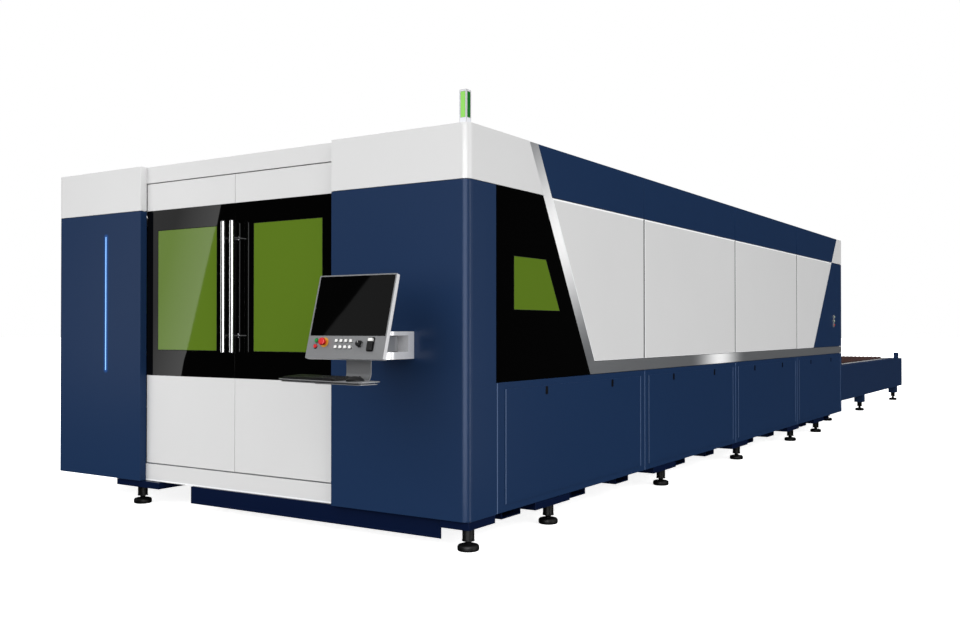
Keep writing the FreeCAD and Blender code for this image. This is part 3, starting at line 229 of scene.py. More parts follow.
# Pieces that the cards leave dark: the roof, which would mirror them as glaring spots, and for the
# nearest card the console too, which swings towards it.
unlit = bpy.data.collections.new("not_lit_by_cards")
unlit_near = bpy.data.collections.new("not_lit_by_corner_card")


def add_card(name, centre, across, up, width, height, power):
    """A light card that only shows as a reflection; across and up are its own axes."""
    data = bpy.data.lights.new(name, "AREA")
    data.shape = "RECTANGLE"
    data.size = width
    data.size_y = height
    data.energy = power
    card = bpy.data.objects.new(name, data)
    axes = Matrix((across, up, across.cross(up))).transposed()
    card.matrix_world = Matrix.Translation(centre) @ axes.to_4x4()
    card.visible_camera = False
    card.visible_diffuse = False
    card.visible_transmission = False
    card.light_linking.receiver_collection = unlit
    bpy.context.scene.collection.objects.link(card)
    return card


def add_mirrored_card(name, pane, low_end, high_end, width, side, power):
    """A card that a pane mirrors beside a line on it, or along the line when side is 0."""
    low_end, high_end = mirrored_at(low_end, *pane), mirrored_at(high_end, *pane)
    up = (high_end - low_end).normalized()
    across = up.cross(pane[1])
    centre = (low_end + high_end) / 2 + across * side * width / 2
    return add_card(name, centre, across, up, width, (high_end - low_end).length, power)


def add_turned_card(name, around, toward, distance, width, height, power):
    """An upright card that faces a point, from a direction in degrees from +X."""
    out = Vector((math.cos(math.radians(toward)), math.sin(math.radians(toward)), 0))
    centre = around + out * distance
    up = Vector((0, 0, 1))
    return add_card(name, centre, up.cross(out), up, width, height, power)


# One card leans across the left door's glass: its edge crosses the glass between two points, and
# its light fades away from that edge.
GLASS_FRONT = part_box("door_glass_left")[0][1]
door_pane = (Vector((0, GLASS_FRONT, 0)), Vector((0, -1, 0)), 6.0)
edge_low = Vector((-0.625, GLASS_FRONT, 0.62))
edge_high = Vector((-0.043, GLASS_FRONT, 2.32))
door_light = add_mirrored_card(
    "door_card", door_pane, edge_low, edge_high, width=2.4, side=-1, power=108
).data
door_light.use_nodes = True
on_card = add_node(door_light, "ShaderNodeNewGeometry").outputs["Parametric"]
along = add_node(door_light, "ShaderNodeSeparateXYZ", {"Vector": on_card})
fade = add_node(
    door_light,
    "ShaderNodeMapRange",
    {"Value": along, "From Min": 0.62, "To Min": 0.42, "To Max": 1.08},
)
glow = door_light.node_tree.nodes["Emission"].inputs["Strength"]
door_light.node_tree.links.new(fade.outputs[0], glow)

# A wide and a slim card give the corner its two bright lines, one lights the side, and two draw
# the pull bars' bright and dull halves. Each row gives what the card faces, from which direction in
# degrees, the distance, the card's width and height, and its watts.
corner = Vector((HALF_WIDTH, FRONT, 1.3))
bars = Vector((0, FRONT, 1.6))
TURNED_CARDS = {
    "corner_card": (corner, -66, 2.0, 2.2, 2.9, 155),
    "line_card": (corner, 8, 5.0, 0.9, 4.6, 130),
    "side_card": (corner, 38, 4.5, 2.6, 3.4, 28),
    "bar_card": (bars, -164, 5.0, 2.1, 3.2, 40),
    "bar_fill_card": (bars, -58, 6.0, 3.6, 3.4, 9),
}
cards = {name: add_turned_card(name, *row) for name, row in TURNED_CARDS.items()}
cards["corner_card"].light_linking.receiver_collection = unlit_near


def bevel(mesh, geom, width, segments=2, affect="EDGES", clamp_overlap=False):
    """Rounds some edges or corners; width in mm."""
    return bmesh.ops.bevel(
        mesh,
        geom=geom,
        offset=width * MM,
        affect=affect,
        segments=segments,
        profile=0.5,
        material=-1,
        clamp_overlap=clamp_overlap,
    )


def eased(
    node, material, radius, reach=None, second=None, segments=2, lit_edges=False, cut=None
):
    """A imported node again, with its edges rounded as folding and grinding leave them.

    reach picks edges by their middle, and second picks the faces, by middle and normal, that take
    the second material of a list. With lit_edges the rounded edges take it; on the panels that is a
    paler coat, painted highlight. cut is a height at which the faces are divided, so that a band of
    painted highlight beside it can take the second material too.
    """
    mesh = bmesh.new()
    mesh.from_mesh(frame["nodes"][node].data)
    bmesh.ops.remove_doubles(mesh, verts=mesh.verts, dist=0.01 * MM)
    bmesh.ops.dissolve_limit(
        mesh, angle_limit=math.radians(0.4), verts=mesh.verts, edges=mesh.edges
    )
    picked = []
    for e in mesh.edges:
        middle = (e.verts[0].co + e.verts[1].co) / 2
        if e.is_manifold and e.is_convex and e.calc_face_angle(0) > math.radians(40):
            if e.calc_length() > 4 * radius * MM and (reach is None or reach(middle)):
                picked.append(e)
    rounded = bevel(mesh, picked, radius, segments, clamp_overlap=True)
    edge_faces = set(rounded["faces"]) if lit_edges else set()
    for face in mesh.faces:
        face.material_index = 1 if face in edge_faces else 0
    bmesh.ops.dissolve_degenerate(mesh, dist=0.01 * MM, edges=mesh.edges)
    if cut:
        bmesh.ops.bisect_plane(
            mesh,
            geom=mesh.verts[:] + mesh.edges[:] + mesh.faces[:],
            plane_co=(0, 0, cut),
            plane_no=(0, 0, 1),
        )
    for face in mesh.faces:
        if second and second(face.calc_center_median(), face.normal):
            face.material_index = 1
    body = frame["nodes"][node]["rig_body"]
    return new_piece(node + "_finished", mesh, material, body, (node,))


def powder_coat(name, colour, roughness=0.3, shine=0.12):
    """Powder coat: a faint cloudiness of tone over metres, and grains of about 3 mm in its skin."""
    material = new_material(name)
    place = add_node(material, "ShaderNodeTexCoord").outputs["Object"]
    cloud = add_node(material, "ShaderNodeTexNoise", {"Vector": place, "Scale": 1.3, "Detail": 3.0})
    tone = add_node(
        material, "ShaderNodeMapRange", {"Value": cloud, "To Min": 0.97, "To Max": 1.03}
    )
    shade = add_node(
        material, "ShaderNodeHueSaturation", {"Color": to_linear(colour), "Value": tone}
    )
    peel = add_node(
        material, "ShaderNodeTexNoise", {"Vector": place, "Scale": 1 / (3 * MM), "Detail": 1.0}
    )
    skin = add_node(
        material, "ShaderNodeBump", {"Height": peel, "Strength": 0.12, "Distance": 0.15 * MM}
    )
    return show(
        material,
        {"Base Color": shade, "Roughness": roughness, "Specular IOR Level": shine, "Normal": skin},
    )


NAVY = "#192f50"
WHITE = "#d8d8d8"
# Paler copies of the navy and the white, painted highlight, for edges, hems and bands.
navy_painted_highlight_coat = powder_coat("navy_powder_coat_painted_highlight", "#56698a")
white_painted_highlight_coat = powder_coat("white_powder_coat_painted_highlight", "#f6f7f8")
navy_coat = powder_coat("navy_powder_coat", NAVY)
# A near-black copy of the navy, painted shade, for the bed frame and the kick plate low under the
# cabin.
painted_shade_navy_coat = powder_coat("navy_powder_coat_painted_shade", "#081430", shine=0.05)
white_coat = powder_coat("white_powder_coat", WHITE, roughness=0.32, shine=0.4)
grey_coat = powder_coat("grey_powder_coat", "#a2a4a6", roughness=0.4, shine=0.35)
eased("bed_frame", painted_shade_navy_coat, 3)


# Levelling feet. A turned iron pad with a crowned top on a threaded stem, and a round sleeve with a
# collar, welded under the plate; all are painted black.
def at(x, y, z):
    """A place given in mm from the cabin's middle, front and floor."""
    return Matrix.Translation((x * MM, FRONT + y * MM, z * MM))


def turned(profile, steps=32):
    """A shape turned on a lathe: (radius, height) points in mm, spun about the upright axis."""
    mesh = bmesh.new()
    points = [mesh.verts.new((radius * MM, 0, height * MM)) for radius, height in profile]
    outline = [mesh.edges.new(pair) for pair in zip(points, points[1:])]
    bmesh.ops.spin(
        mesh,
        geom=points + outline,
        cent=(0, 0, 0),
        axis=(0, 0, 1),
        angle=2 * math.pi,
        steps=steps,
        use_merge=True,
    )
    bmesh.ops.remove_doubles(mesh, verts=mesh.verts, dist=0.01 * MM)
    bmesh.ops.recalc_face_normals(mesh, faces=mesh.faces)
    return mesh


def add_shape(mesh, shape, *places):
    """Adds a shape to a mesh at each place, or as it stands, and uses the shape up."""
    for place in places or [Matrix()]:
        held = bpy.data.meshes.new("held")
        shape.to_mesh(held)
        held.transform(place)
        mesh.from_mesh(held)
        bpy.data.meshes.remove(held)
    shape.free()
    return mesh


def moulded(name, colour, roughness=0.45, shine=0.4, grain=1.5):
    """Moulded or painted parts with a fine even grain; its size in mm."""
    material = new_material(name)
    place = add_node(material, "ShaderNodeTexCoord").outputs["Object"]
    texture = add_node(
        material, "ShaderNodeTexNoise", {"Vector": place, "Scale": 1 / (grain * MM), "Detail": 1.0}
    )
    skin = add_node(
        material, "ShaderNodeBump", {"Height": texture, "Strength": 0.15, "Distance": 0.1 * MM}
    )
    gloss = add_node(
        material,
        "ShaderNodeMapRange",
        {"Value": texture, "To Min": max(roughness - 0.05, 0.02), "To Max": roughness + 0.07},
    )
    return show(
        material,
        {
            "Base Color": to_linear(colour),
            "Roughness": gloss,
            "Specular IOR Level": shine,
            "Normal": skin,
        },
    )


foot_iron = moulded("black_painted_iron", "#070708", 0.42, 0.2)
PAD = [(0, 0), (52, 0), (58, 3), (60, 8), (60, 22), (58.5, 28), (54, 33), (46, 35.6), (30, 36)]
STEM = [(20, 36.4), (18, 38)]
THREAD = 3.0
SLEEVE_LONG = 62


def levelling_foot(under):
    """One foot under a plate at a height in mm."""
    sleeve = under - SLEEVE_LONG
    profile = PAD + STEM
    height = STEM[-1][1]
    while height + THREAD < sleeve:
        profile += [(18, height + THREAD / 4), (16.4, height + THREAD * 3 / 4)]
        height += THREAD
    profile += [(16.4, sleeve), (34, sleeve), (35, sleeve + 1), (35, sleeve + 6), (33, sleeve + 7)]
    profile += [(33, under), (0, under)]
    return turned(profile, 24)


# Feet stand along the cabin from its front and under the table's legs from the cabin's rear. The
# front left one stands further in.
FEET = (63, 956, 2747, 4543, 6328, 7398)
LEGS = (420, 2350, 4927)
REAR = 8530
FOOT_X = HALF_WIDTH / MM - 40
LEG_X = 1535
FRONT_LEFT_FOOT = (842 - FOOT_X, 63.3, 0)
PLATE_LOW, LEG_LOW = 115, 126
machine_feet = [at(FOOT_X, y, 0) for y in FEET] + [at(-FOOT_X, y, 0) for y in FEET[1:]]
machine_feet.append(at(*FRONT_LEFT_FOOT))
table_feet = [at(side * LEG_X, REAR + y, 0) for side in (1, -1) for y in LEGS]
feet_mesh = add_shape(bmesh.new(), levelling_foot(PLATE_LOW), *machine_feet)
add_shape(feet_mesh, levelling_foot(LEG_LOW), *table_feet)
new_piece("turned_feet", feet_mesh, foot_iron, "machine", ["leveling_feet"])


# Guides, gantry and cutting head. Ground steel rails and racks on the bed, a welded beam on two
# trucks, an aluminium carriage, and a head with a turned barrel, a cone and a copper nozzle.
def dress(material, *nodes):
    """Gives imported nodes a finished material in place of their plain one."""
    for name in nodes:
        for holder in frame["nodes"][name].material_slots:
            holder.material = material


def slab(low, high, corner=0, along="Z", segments=4):
    """A block between two corners in mm; corner rounds its four edges along one axis."""
    mesh = bmesh.new()
    bmesh.ops.create_cube(mesh, size=1.0)
    low, high = Vector(low) * MM, Vector(high) * MM
    bmesh.ops.scale(mesh, vec=high - low, verts=mesh.verts)
    bmesh.ops.translate(mesh, vec=(low + high) / 2, verts=mesh.verts)
    if corner:
        axis = "XYZ".index(along)
        upright = [e for e in mesh.edges if abs((e.verts[0].co - e.verts[1].co)[axis]) > 1e-6]
        bevel(mesh, upright, corner, segments)
    return mesh


def softened(mesh, width, segments=2, limit=40):
    """Rounds every edge that turns by more than limit degrees."""
    turn = math.radians(limit)
    folds = [e for e in mesh.edges if e.is_manifold and e.calc_face_angle(0) > turn]
    bevel(mesh, folds, width, segments)
    return mesh


def brushed_metal(name, colour, stretch, roughness=0.32, metal=1.0, wear=1.0):
    """Ground metal; stretch is how far a scratch runs along each axis, in metres."""
    material = new_material(name)
    place = add_node(material, "ShaderNodeTexCoord").outputs["Object"]
    run = add_node(
        material,
        "ShaderNodeMapping",
        {"Vector": place, "Scale": [1 / length for length in stretch]},
    )
    scratch = add_node(material, "ShaderNodeTexNoise", {"Vector": run, "Scale": 1.0, "Detail": 4.0})
    spread = add_node(
        material,
        "ShaderNodeMapRange",
        {"Value": scratch, "To Min": roughness - 0.06 * wear, "To Max": roughness + 0.1 * wear},
    )
    tone = add_node(
        material,
        "ShaderNodeMapRange",
        {"Value": scratch, "To Min": 1 - 0.12 * wear, "To Max": 1 + 0.1 * wear},
    )
    shade = add_node(
        material, "ShaderNodeHueSaturation", {"Color": to_linear(colour), "Value": tone}
    )
    return show(material, {"Base Color": shade, "Metallic": metal, "Roughness": spread})


guide_steel = brushed_metal("ground_guide_steel", "#b9bcbf", (0.002, 0.2, 0.002), 0.25)
beam_steel = brushed_metal("ground_beam_rail_steel", "#b9bcbf", (0.2, 0.002, 0.002), 0.25)
machined_aluminium = brushed_metal("machined_aluminium", "#c4c6c8", (0.002, 0.002, 0.1), 0.35)
copper = brushed_metal("turned_copper", "#b8734a", (0.004, 0.004, 0.001), 0.25)
dress(guide_steel, "bed_guides")
dress(beam_steel, "beam_guides")
eased("gantry_beam", grey_coat, 4)
eased("head_carriage", machined_aluminium, 3)
head_low, head_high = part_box("cutting_head")
head_middle = Matrix.Translation((head_low + head_high) * Vector((0.5, 0.5, 0)))
head_mesh = softened(slab((-60, -60, 1000), (60, 60, 1480), 12), 3)
for level in (1120, 1300):
    add_shape(head_mesh, slab((-60.5, -60.5, level), (60.5, 60.5, level + 4), 12))
BARREL = [(0, 868), (9, 868), (24, 892), (36, 918), (36, 922), (45, 930), (45, 955), (42, 958)]
BARREL += [(42, 966), (45, 969), (45, 990), (48, 992), (48, 1001), (0, 1001)]
add_shape(head_mesh, turned(BARREL))
new_piece(
    "laser_head", head_mesh, machined_aluminium, "head", ["cutting_head"], head_middle
)
nozzle = turned([(0, 860), (3, 860), (5, 863), (12, 869), (14, 870), (14, 874), (0, 874)], 20)
new_piece("head_nozzle", nozzle, copper, "head", place=head_middle)

# Cabin frame, roof and rear wall. Square tubes carry folded roof panels and a plain rear wall with
# the slot for the pallets; the frame is painted white like the panels on it.
dress(white_coat, "cabin_frame")
# The roof panels take a greyer copy of the white coat, painted shade against the light from above.
roof_coat_painted_shade = powder_coat("grey_roof_powder_coat_painted_shade", "#b9bbbe", 0.5)
roof = eased("roof_panels", roof_coat_painted_shade, 4)
unlit.objects.link(roof)
unlit_near.objects.link(roof)
eased("rear_wall", white_coat, 4, reach=lambda p: p.y > FRONT + (REAR - 3) * MM)

# Cladding. The panels are folded from 2 mm steel. Navy covers the columns and the base, white the
# middle and the top; the folds leave edges of about 4 mm, which catch the light along every seam,
# and many of them take the paler coats besides, painted highlight.
SKIN = 1.811


def on_skin(p):
    """Whether a point lies in the outer skin of a side."""
    return abs(p.x) > SKIN - 0.5 * MM


# The columns' coat carries a painted blue glow around the light strip, set up below.
painted_glow_column_coat = powder_coat("navy_column_coat", NAVY)
COLUMN_FACE = FRONT + 200 * MM
eased("column_covers", painted_glow_column_coat, 2.5, reach=lambda p: p.y < COLUMN_FACE)
# The covers' lowest 11 mm take the paler white: painted highlight.
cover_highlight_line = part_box("white_top_covers")[0][2] + 11 * MM
eased(
    "white_top_covers",
    [white_coat, white_painted_highlight_coat],
    3,
    lit_edges=True,
    cut=cover_highlight_line,
    second=lambda p, normal: p.z < cover_highlight_line,
)
eased("upper_navy_panels", navy_coat, 4, reach=on_skin)
# The side panels' top 12 mm take the paler white: painted highlight.
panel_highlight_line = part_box("white_side_panels")[1][2] - 12 * MM
eased(
    "white_side_panels",
    [white_coat, white_painted_highlight_coat],
    5,
    reach=on_skin,
    lit_edges=True,
    cut=panel_highlight_line,
    second=lambda p, normal: p.z > panel_highlight_line,
)
# The kick plate takes the near-black copy of the navy: painted shade.
KICK_FOLD, KICK_TOP, KICK_SIDE = 0.1, 0.1625, 1.7
eased(
    "skirt_panels",
    [navy_coat, painted_shade_navy_coat],
    4,
    reach=lambda p: on_skin(p) or p.z < KICK_FOLD,
    second=lambda p, normal: p.z < KICK_TOP and abs(p.x) < KICK_SIDE,
)
# The access panels' rounded edges take the paler navy: painted highlight.
eased(
    "access_panels",
    [navy_coat, navy_painted_highlight_coat],
    1.9,
    reach=lambda p: abs(p.x) > HALF_WIDTH - 0.5 * MM,
    lit_edges=True,
)

# Light on the left column. Around the strip let into it the navy coat has a painted glow: blue
# emission in the paint, standing in for the strip's light on it, which fades over 26 mm.
STRIP_LOW, STRIP_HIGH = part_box("led_strip")
strip_middle = (STRIP_LOW + STRIP_HIGH) / 2
strip_half = (STRIP_HIGH - STRIP_LOW) / 2
PAINTED_GLOW_REACH = 26 * MM
painted = add_node(painted_glow_column_coat, "ShaderNodeTexCoord").outputs["Object"]
apart = add_node(
    painted_glow_column_coat, "ShaderNodeVectorMath", {0: painted, 1: strip_middle}, operation="SUBTRACT"
)
away = add_node(painted_glow_column_coat, "ShaderNodeVectorMath", {0: apart}, operation="ABSOLUTE")
past = add_node(painted_glow_column_coat, "ShaderNodeVectorMath", {0: away, 1: strip_half}, operation="SUBTRACT")
outside = add_node(
    painted_glow_column_coat, "ShaderNodeVectorMath", {0: past, 1: (0, 0, 0)}, operation="MAXIMUM"
)
distance_from_strip = add_node(painted_glow_column_coat, "ShaderNodeVectorMath", {0: outside}, operation="LENGTH")
painted_glow_strength = add_node(
    painted_glow_column_coat,
    "ShaderNodeMapRange",
    {"Value": distance_from_strip.outputs["Value"], "From Max": PAINTED_GLOW_REACH, "To Min": 0.42, "To Max": 0.0},
    interpolation_type="SMOOTHSTEP",
)
coat_shader = painted_glow_column_coat.node_tree.nodes["Principled BSDF"]
coat_shader.inputs["Emission Color"].default_value = to_linear("#1a66c8")
painted_glow_column_coat.node_tree.links.new(painted_glow_strength.outputs[0], coat_shader.inputs["Emission Strength"])

# Latches. Quarter-turn latches of black zinc hold the access panels, two on each: an oval rose that
# is clamped in the sheet, with a bow across it that the fingers turn.
ACCESS_ENDS = ((383, 2280), (2420, 4340), (4480, 6400), (6540, 8460))
LATCH_REACH = 465
LATCH_Z = 829.5
latch_black = moulded("black_zinc_latch", "#040405", 0.55, 0.12)
latch_places = []
for start, end in ACCESS_ENDS:
    for y in ((start + end) / 2 - LATCH_REACH, (start + end) / 2 + LATCH_REACH):
        latch_places.append(at(SKIN / MM, y, LATCH_Z))
        latch_places.append(at(-SKIN / MM, y, LATCH_Z) @ Matrix.Rotation(math.pi, 4, "Z"))
rose = softened(slab((0, -14, -25), (6.2, 14, 25), 7, "X", 6), 0.6)
add_shape(rose, softened(slab((5, -4, -16), (9, 4, 16), 3.6, "X", 3), 0.6))
latches = add_shape(bmesh.new(), rose, *latch_places)
new_piece("slotted_latches", latches, latch_black, "machine", ["panel_latches"])

# Panel joints. A black rubber profile fills each upright joint between the cabin's modules, and the
# next panel's edge is folded over it in a narrow hem. The hems take the paler coats, a painted
# highlight.
joint_rubber = moulded("black_joint_rubber", "#3a3b3d", 0.6, 0.2)
MODULE_JOINTS = (2350, 4410, 6470)
COLUMN_REAR = 294
SKIRT_LOW, SKIRT_HIGH = 164, 895


def both_skins(*lengths):
    """Places on both sides' skins at distances in mm from the front."""
    return [at(side * SKIN / MM, y, 0) for y in lengths for side in (1, -1)]


waist_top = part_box("white_side_panels")[0][2] / MM + 4
joint_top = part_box("white_side_panels")[1][2] / MM - 4
joint = softened(slab((-0.5, -9, waist_top), (0.8, 9, joint_top)), 0.35)
hem = softened(slab((-0.5, 9.5, waist_top), (1.0, 21, joint_top)), 0.4)
skirt_hem = softened(slab((-0.5, 5, SKIRT_LOW), (1.0, 13, SKIRT_HIGH)), 0.4)
joints = add_shape(bmesh.new(), joint, *both_skins(*MODULE_JOINTS))
hems = add_shape(bmesh.new(), hem, *both_skins(*MODULE_JOINTS))
skirt_hems_painted_highlight = add_shape(bmesh.new(), skirt_hem, *both_skins(*MODULE_JOINTS, COLUMN_REAR))
new_piece("joint_profiles", joints, joint_rubber, "machine")
new_piece("joint_hems_painted_highlight", hems, white_painted_highlight_coat, "machine")
new_piece("skirt_hems_painted_highlight", skirt_hems_painted_highlight, navy_painted_highlight_coat, "machine")
# The access panels' upright edges get such hems too, in the paler navy: painted highlight.
access_low, access_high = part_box("access_panels")
access_hem = softened(
    slab((-0.5, -3.5, access_low.z / MM + 1), (1.0, 3.5, access_high.z / MM - 1)), 0.4
)
access_places = []
for start, end in ACCESS_ENDS:
    for y in (start + 6, end - 6):
        access_places += [at(access_high.x / MM, y, 0), at(access_low.x / MM, y, 0)]
access_hems_painted_highlight = add_shape(bmesh.new(), access_hem, *access_places)
new_piece("access_hems_painted_highlight", access_hems_painted_highlight, navy_painted_highlight_coat, "machine")


# Trim. One folded strip of stainless steel comes down the slant and runs back along the waist. It
# is ground along its length. Beside the glass and halfway along the waist its colour is blended
# towards white and its metal taken away: painted highlights.
trim_steel_painted_highlight = brushed_metal("brushed_stainless_trim_painted_highlight", "#8f9194", (0.003, 0.25, 0.003), 0.34, 0.6)


def painted_highlight_near(material, at_y, at_z, reach):
    """How much painted highlight a ground strip gets near a point of the side, from 0 to 1."""
    place = add_node(material, "ShaderNodeTexCoord").outputs["Object"]
    side_on = add_node(
        material, "ShaderNodeVectorMath", {0: place, 1: (0.0, 1.0, 1.0)}, operation="MULTIPLY"
    )
    away = add_node(
        material,
        "ShaderNodeVectorMath",
        {0: side_on, 1: (0.0, FRONT + at_y * MM, at_z * MM)},
        operation="DISTANCE",
    )
    return add_node(
        material,
        "ShaderNodeMapRange",
        {"Value": away.outputs["Value"], "From Max": reach * MM, "To Min": 1.0, "To Max": 0.0},
        interpolation_type="SMOOTHSTEP",
    ).outputs[0]


highlight_by_glass = painted_highlight_near(trim_steel_painted_highlight, at_y=1060, at_z=1800, reach=900)
highlight_on_waist = painted_highlight_near(trim_steel_painted_highlight, at_y=4000, at_z=943, reach=720)
painted_highlight_share = add_node(
    trim_steel_painted_highlight, "ShaderNodeMath", {0: highlight_by_glass, 1: highlight_on_waist}, operation="MAXIMUM"
)
ground_shade = trim_steel_painted_highlight.node_tree.nodes["Hue/Saturation/Value"].outputs[0]
painted_highlight_colour = add_node(
    trim_steel_painted_highlight,
    "ShaderNodeMix",
    {0: painted_highlight_share, 6: ground_shade, 7: to_linear("#ffffff")},
    data_type="RGBA",
)
trim_shader = trim_steel_painted_highlight.node_tree.nodes["Principled BSDF"]
trim_steel_painted_highlight.node_tree.links.new(painted_highlight_colour.outputs[2], trim_shader.inputs["Base Color"])
metal_under_highlight = add_node(
    trim_steel_painted_highlight, "ShaderNodeMapRange", {"Value": painted_highlight_share, "To Min": 0.6, "To Max": 0.0}
)
trim_steel_painted_highlight.node_tree.links.new(metal_under_highlight.outputs[0], trim_shader.inputs["Metallic"])
eased("trim_strips", trim_steel_painted_highlight, 3, reach=on_skin)


# Side glazing. Back-painted black glass, flush and mirror smooth, with a green laser-safety acrylic
# pane let into it behind a slim rubber seal.
def band(corners, wide, thick, radius=0):
    """A flat ring in mm inside an outline; radius rounds its corners, thick is its height."""
    mesh = bmesh.new()
    face = mesh.faces.new([mesh.verts.new(Vector(corner) * MM) for corner in corners])
    face.normal_update()
    if radius:
        bevel(mesh, list(mesh.verts), radius, 5, "VERTICES")
        face = mesh.faces[:][0]
    bmesh.ops.inset_region(
        mesh, faces=[face], thickness=wide * MM, use_even_offset=True, use_boundary=True
    )
    bmesh.ops.delete(mesh, geom=[face], context="FACES_ONLY")
    bmesh.ops.solidify(mesh, geom=mesh.faces[:], thickness=thick * MM)
    bmesh.ops.recalc_face_normals(mesh, faces=mesh.faces)
    return mesh


def glossy(name, colour, roughness, shine):
    """A polished coloured surface; fingers and cloths leave its gloss slightly uneven."""
    material = new_material(name)
    place = add_node(material, "ShaderNodeTexCoord").outputs["Object"]
    smear = add_node(material, "ShaderNodeTexNoise", {"Vector": place, "Scale": 7.0, "Detail": 4.0})
    spread = add_node(
        material,
        "ShaderNodeMapRange",
        {"Value": smear, "To Min": roughness * 0.7, "To Max": roughness * 1.4},
    )
    return show(
        material,
        {"Base Color": to_linear(colour), "Roughness": spread, "Specular IOR Level": shine},
    )


black_glass = glossy("back_painted_black_glass", "#020202", 0.01, 0.13)
green_pane = glossy("green_safety_acrylic", "#58731f", 0.02, 0.16)
rubber = moulded("black_sealing_rubber", "#0b0b0b", 0.5, 0.3)
eased("side_glass", black_glass, 1, reach=on_skin)
eased("side_windows", green_pane, 1, reach=on_skin)
PANE_FRONT, PANE_REAR, PANE_LOW, PANE_HIGH = 485, 1043, 1314, 1627
PANE_SLANT = 0.5696
pane_corner = PANE_REAR - PANE_SLANT * (PANE_HIGH - PANE_LOW)
corners = [(PANE_FRONT, PANE_LOW), (PANE_REAR, PANE_LOW)]
corners += [(pane_corner, PANE_HIGH), (PANE_FRONT, PANE_HIGH)]
SEAL_WIDE, SEAL_THICK = 2.5, 0.8
side_seal = band([(0, *place) for place in corners], SEAL_WIDE, SEAL_THICK)
seal_places = [at(side * SKIN / MM + SEAL_THICK / 2, 0, 0) for side in (1, -1)]
seals = add_shape(bmesh.new(), side_seal, *seal_places)
new_piece("side_window_seals", seals, rubber, "machine")

# Button station on the rear panel: a small plate with two pale green buttons and a red one, each in
# a turned collar.
silver_paint = brushed_metal("silver_enamel", "#939496", (0.006, 0.006, 0.006), 0.34, 0.5)
red_plastic = moulded("red_abs", "#c4161c", 0.3)
pale_plastic = moulded("pale_green_abs", "#b9c9b4", 0.3)
STATION = at(SKIN / MM, REAR - 400, 1300)
button_places = [
    STATION @ Matrix.Translation((0, 0, height * MM)) @ Matrix.Rotation(math.pi / 2, 4, "Y")
    for height in (-50, 0, 50)
]
station_mesh = softened(slab((0, -30, -75), (4, 30, 75), 5, "X"), 0.8)
bmesh.ops.transform(station_mesh, matrix=STATION, verts=station_mesh.verts)
collar = turned([(11.5, 3.5), (15, 3.5), (15, 7), (14, 8), (11.5, 8), (11.5, 3.5)], 28)
add_shape(station_mesh, collar, *button_places)
new_piece("station_plate", station_mesh, silver_paint, "machine", ["rear_button_box"])
for number, place in enumerate(button_places):
    cap = turned([(0, 3.5), (11, 3.5), (11, 12), (10, 13.4), (8, 14), (0, 14)], 28)
    colour, slot = (pale_plastic, "green_plastic") if number else (red_plastic, "red_plastic")
    new_piece(f"station_button_{number + 1}", cap, colour, "machine", place=place)

# Doors. Each leaf is a folded white tray that carries a sheet of black glass over its middle and a
# green pane in a rubber seal; it hangs from the top rail and slides on the low one.
rail_aluminium = brushed_metal("anodised_rail_aluminium", "#c4c6c8", (0.15, 0.002, 0.002), 0.38)
dress(rail_aluminium, "door_rails")
seal_place = Matrix.Translation((0, GLASS_FRONT - SEAL_THICK / 2 * MM, 0))
for side in ("left", "right"):
    eased(f"door_leaf_{side}", white_coat, 2, reach=lambda p: p.y < GLASS_FRONT + 8 * MM)
    eased(f"door_glass_{side}", black_glass, 0.8, reach=lambda p: p.y < GLASS_FRONT + 0.5 * MM)
    eased(f"door_window_{side}", green_pane, 0.8, reach=lambda p: p.y < GLASS_FRONT + 0.5 * MM)
    low, high = (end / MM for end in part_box(f"door_window_{side}"))
    corners = [(low.x, low.z), (high.x, low.z), (high.x, high.z), (low.x, high.z)]
    seal = band([(x, 0, z) for x, z in corners], SEAL_WIDE, SEAL_THICK)
    new_piece(
        f"door_window_seal_{side}", seal, rubber, f"{side}_door", place=seal_place
    )

# Door handles. A long bar of polished stainless tube with domed ends stands off each door on two
# studs with flat collars.
chrome = brushed_metal("polished_stainless_tube", "#c8c9cb", (0.03, 0.03, 3.0), 0.12, wear=0.2)
BAR_LONG, BAR_RADIUS, STUD_INSET = 845, 15, 110
BAR = [(0, 0), (9, 0), (13, 1.2), (14.6, 3.5), (15, 6), (15, 839), (14.6, 841.5), (13, 843.8)]
BAR += [(9, BAR_LONG), (0, BAR_LONG)]
STUD = [(0, 0), (8, 0), (8, 55), (8.6, 59), (13, 60), (13, 64), (12, 65), (0, 65)]
lit_bars = bpy.data.collections.new("pull_bars")
cards["bar_card"].light_linking.receiver_collection = lit_bars
for side in ("left", "right"):
    node = f"door_handle_{side}"
    bar_low, bar_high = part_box(node)
    middle_x = (bar_low.x + bar_high.x) / 2
    handle = turned(BAR, 32)
    studs = [
        Matrix.Translation((0, 0, height * MM)) @ Matrix.Rotation(-math.pi / 2, 4, "X")
        for height in (STUD_INSET, BAR_LONG - STUD_INSET)
    ]
    add_shape(handle, turned(STUD, 20), *studs)
    lit_bar = new_piece(
        f"pull_bar_{side}",
        handle,
        chrome,
        f"{side}_door",
        [node],
        Matrix.Translation((middle_x, bar_low.y + BAR_RADIUS * MM, bar_low.z)),
    )
    lit_bars.objects.link(lit_bar)


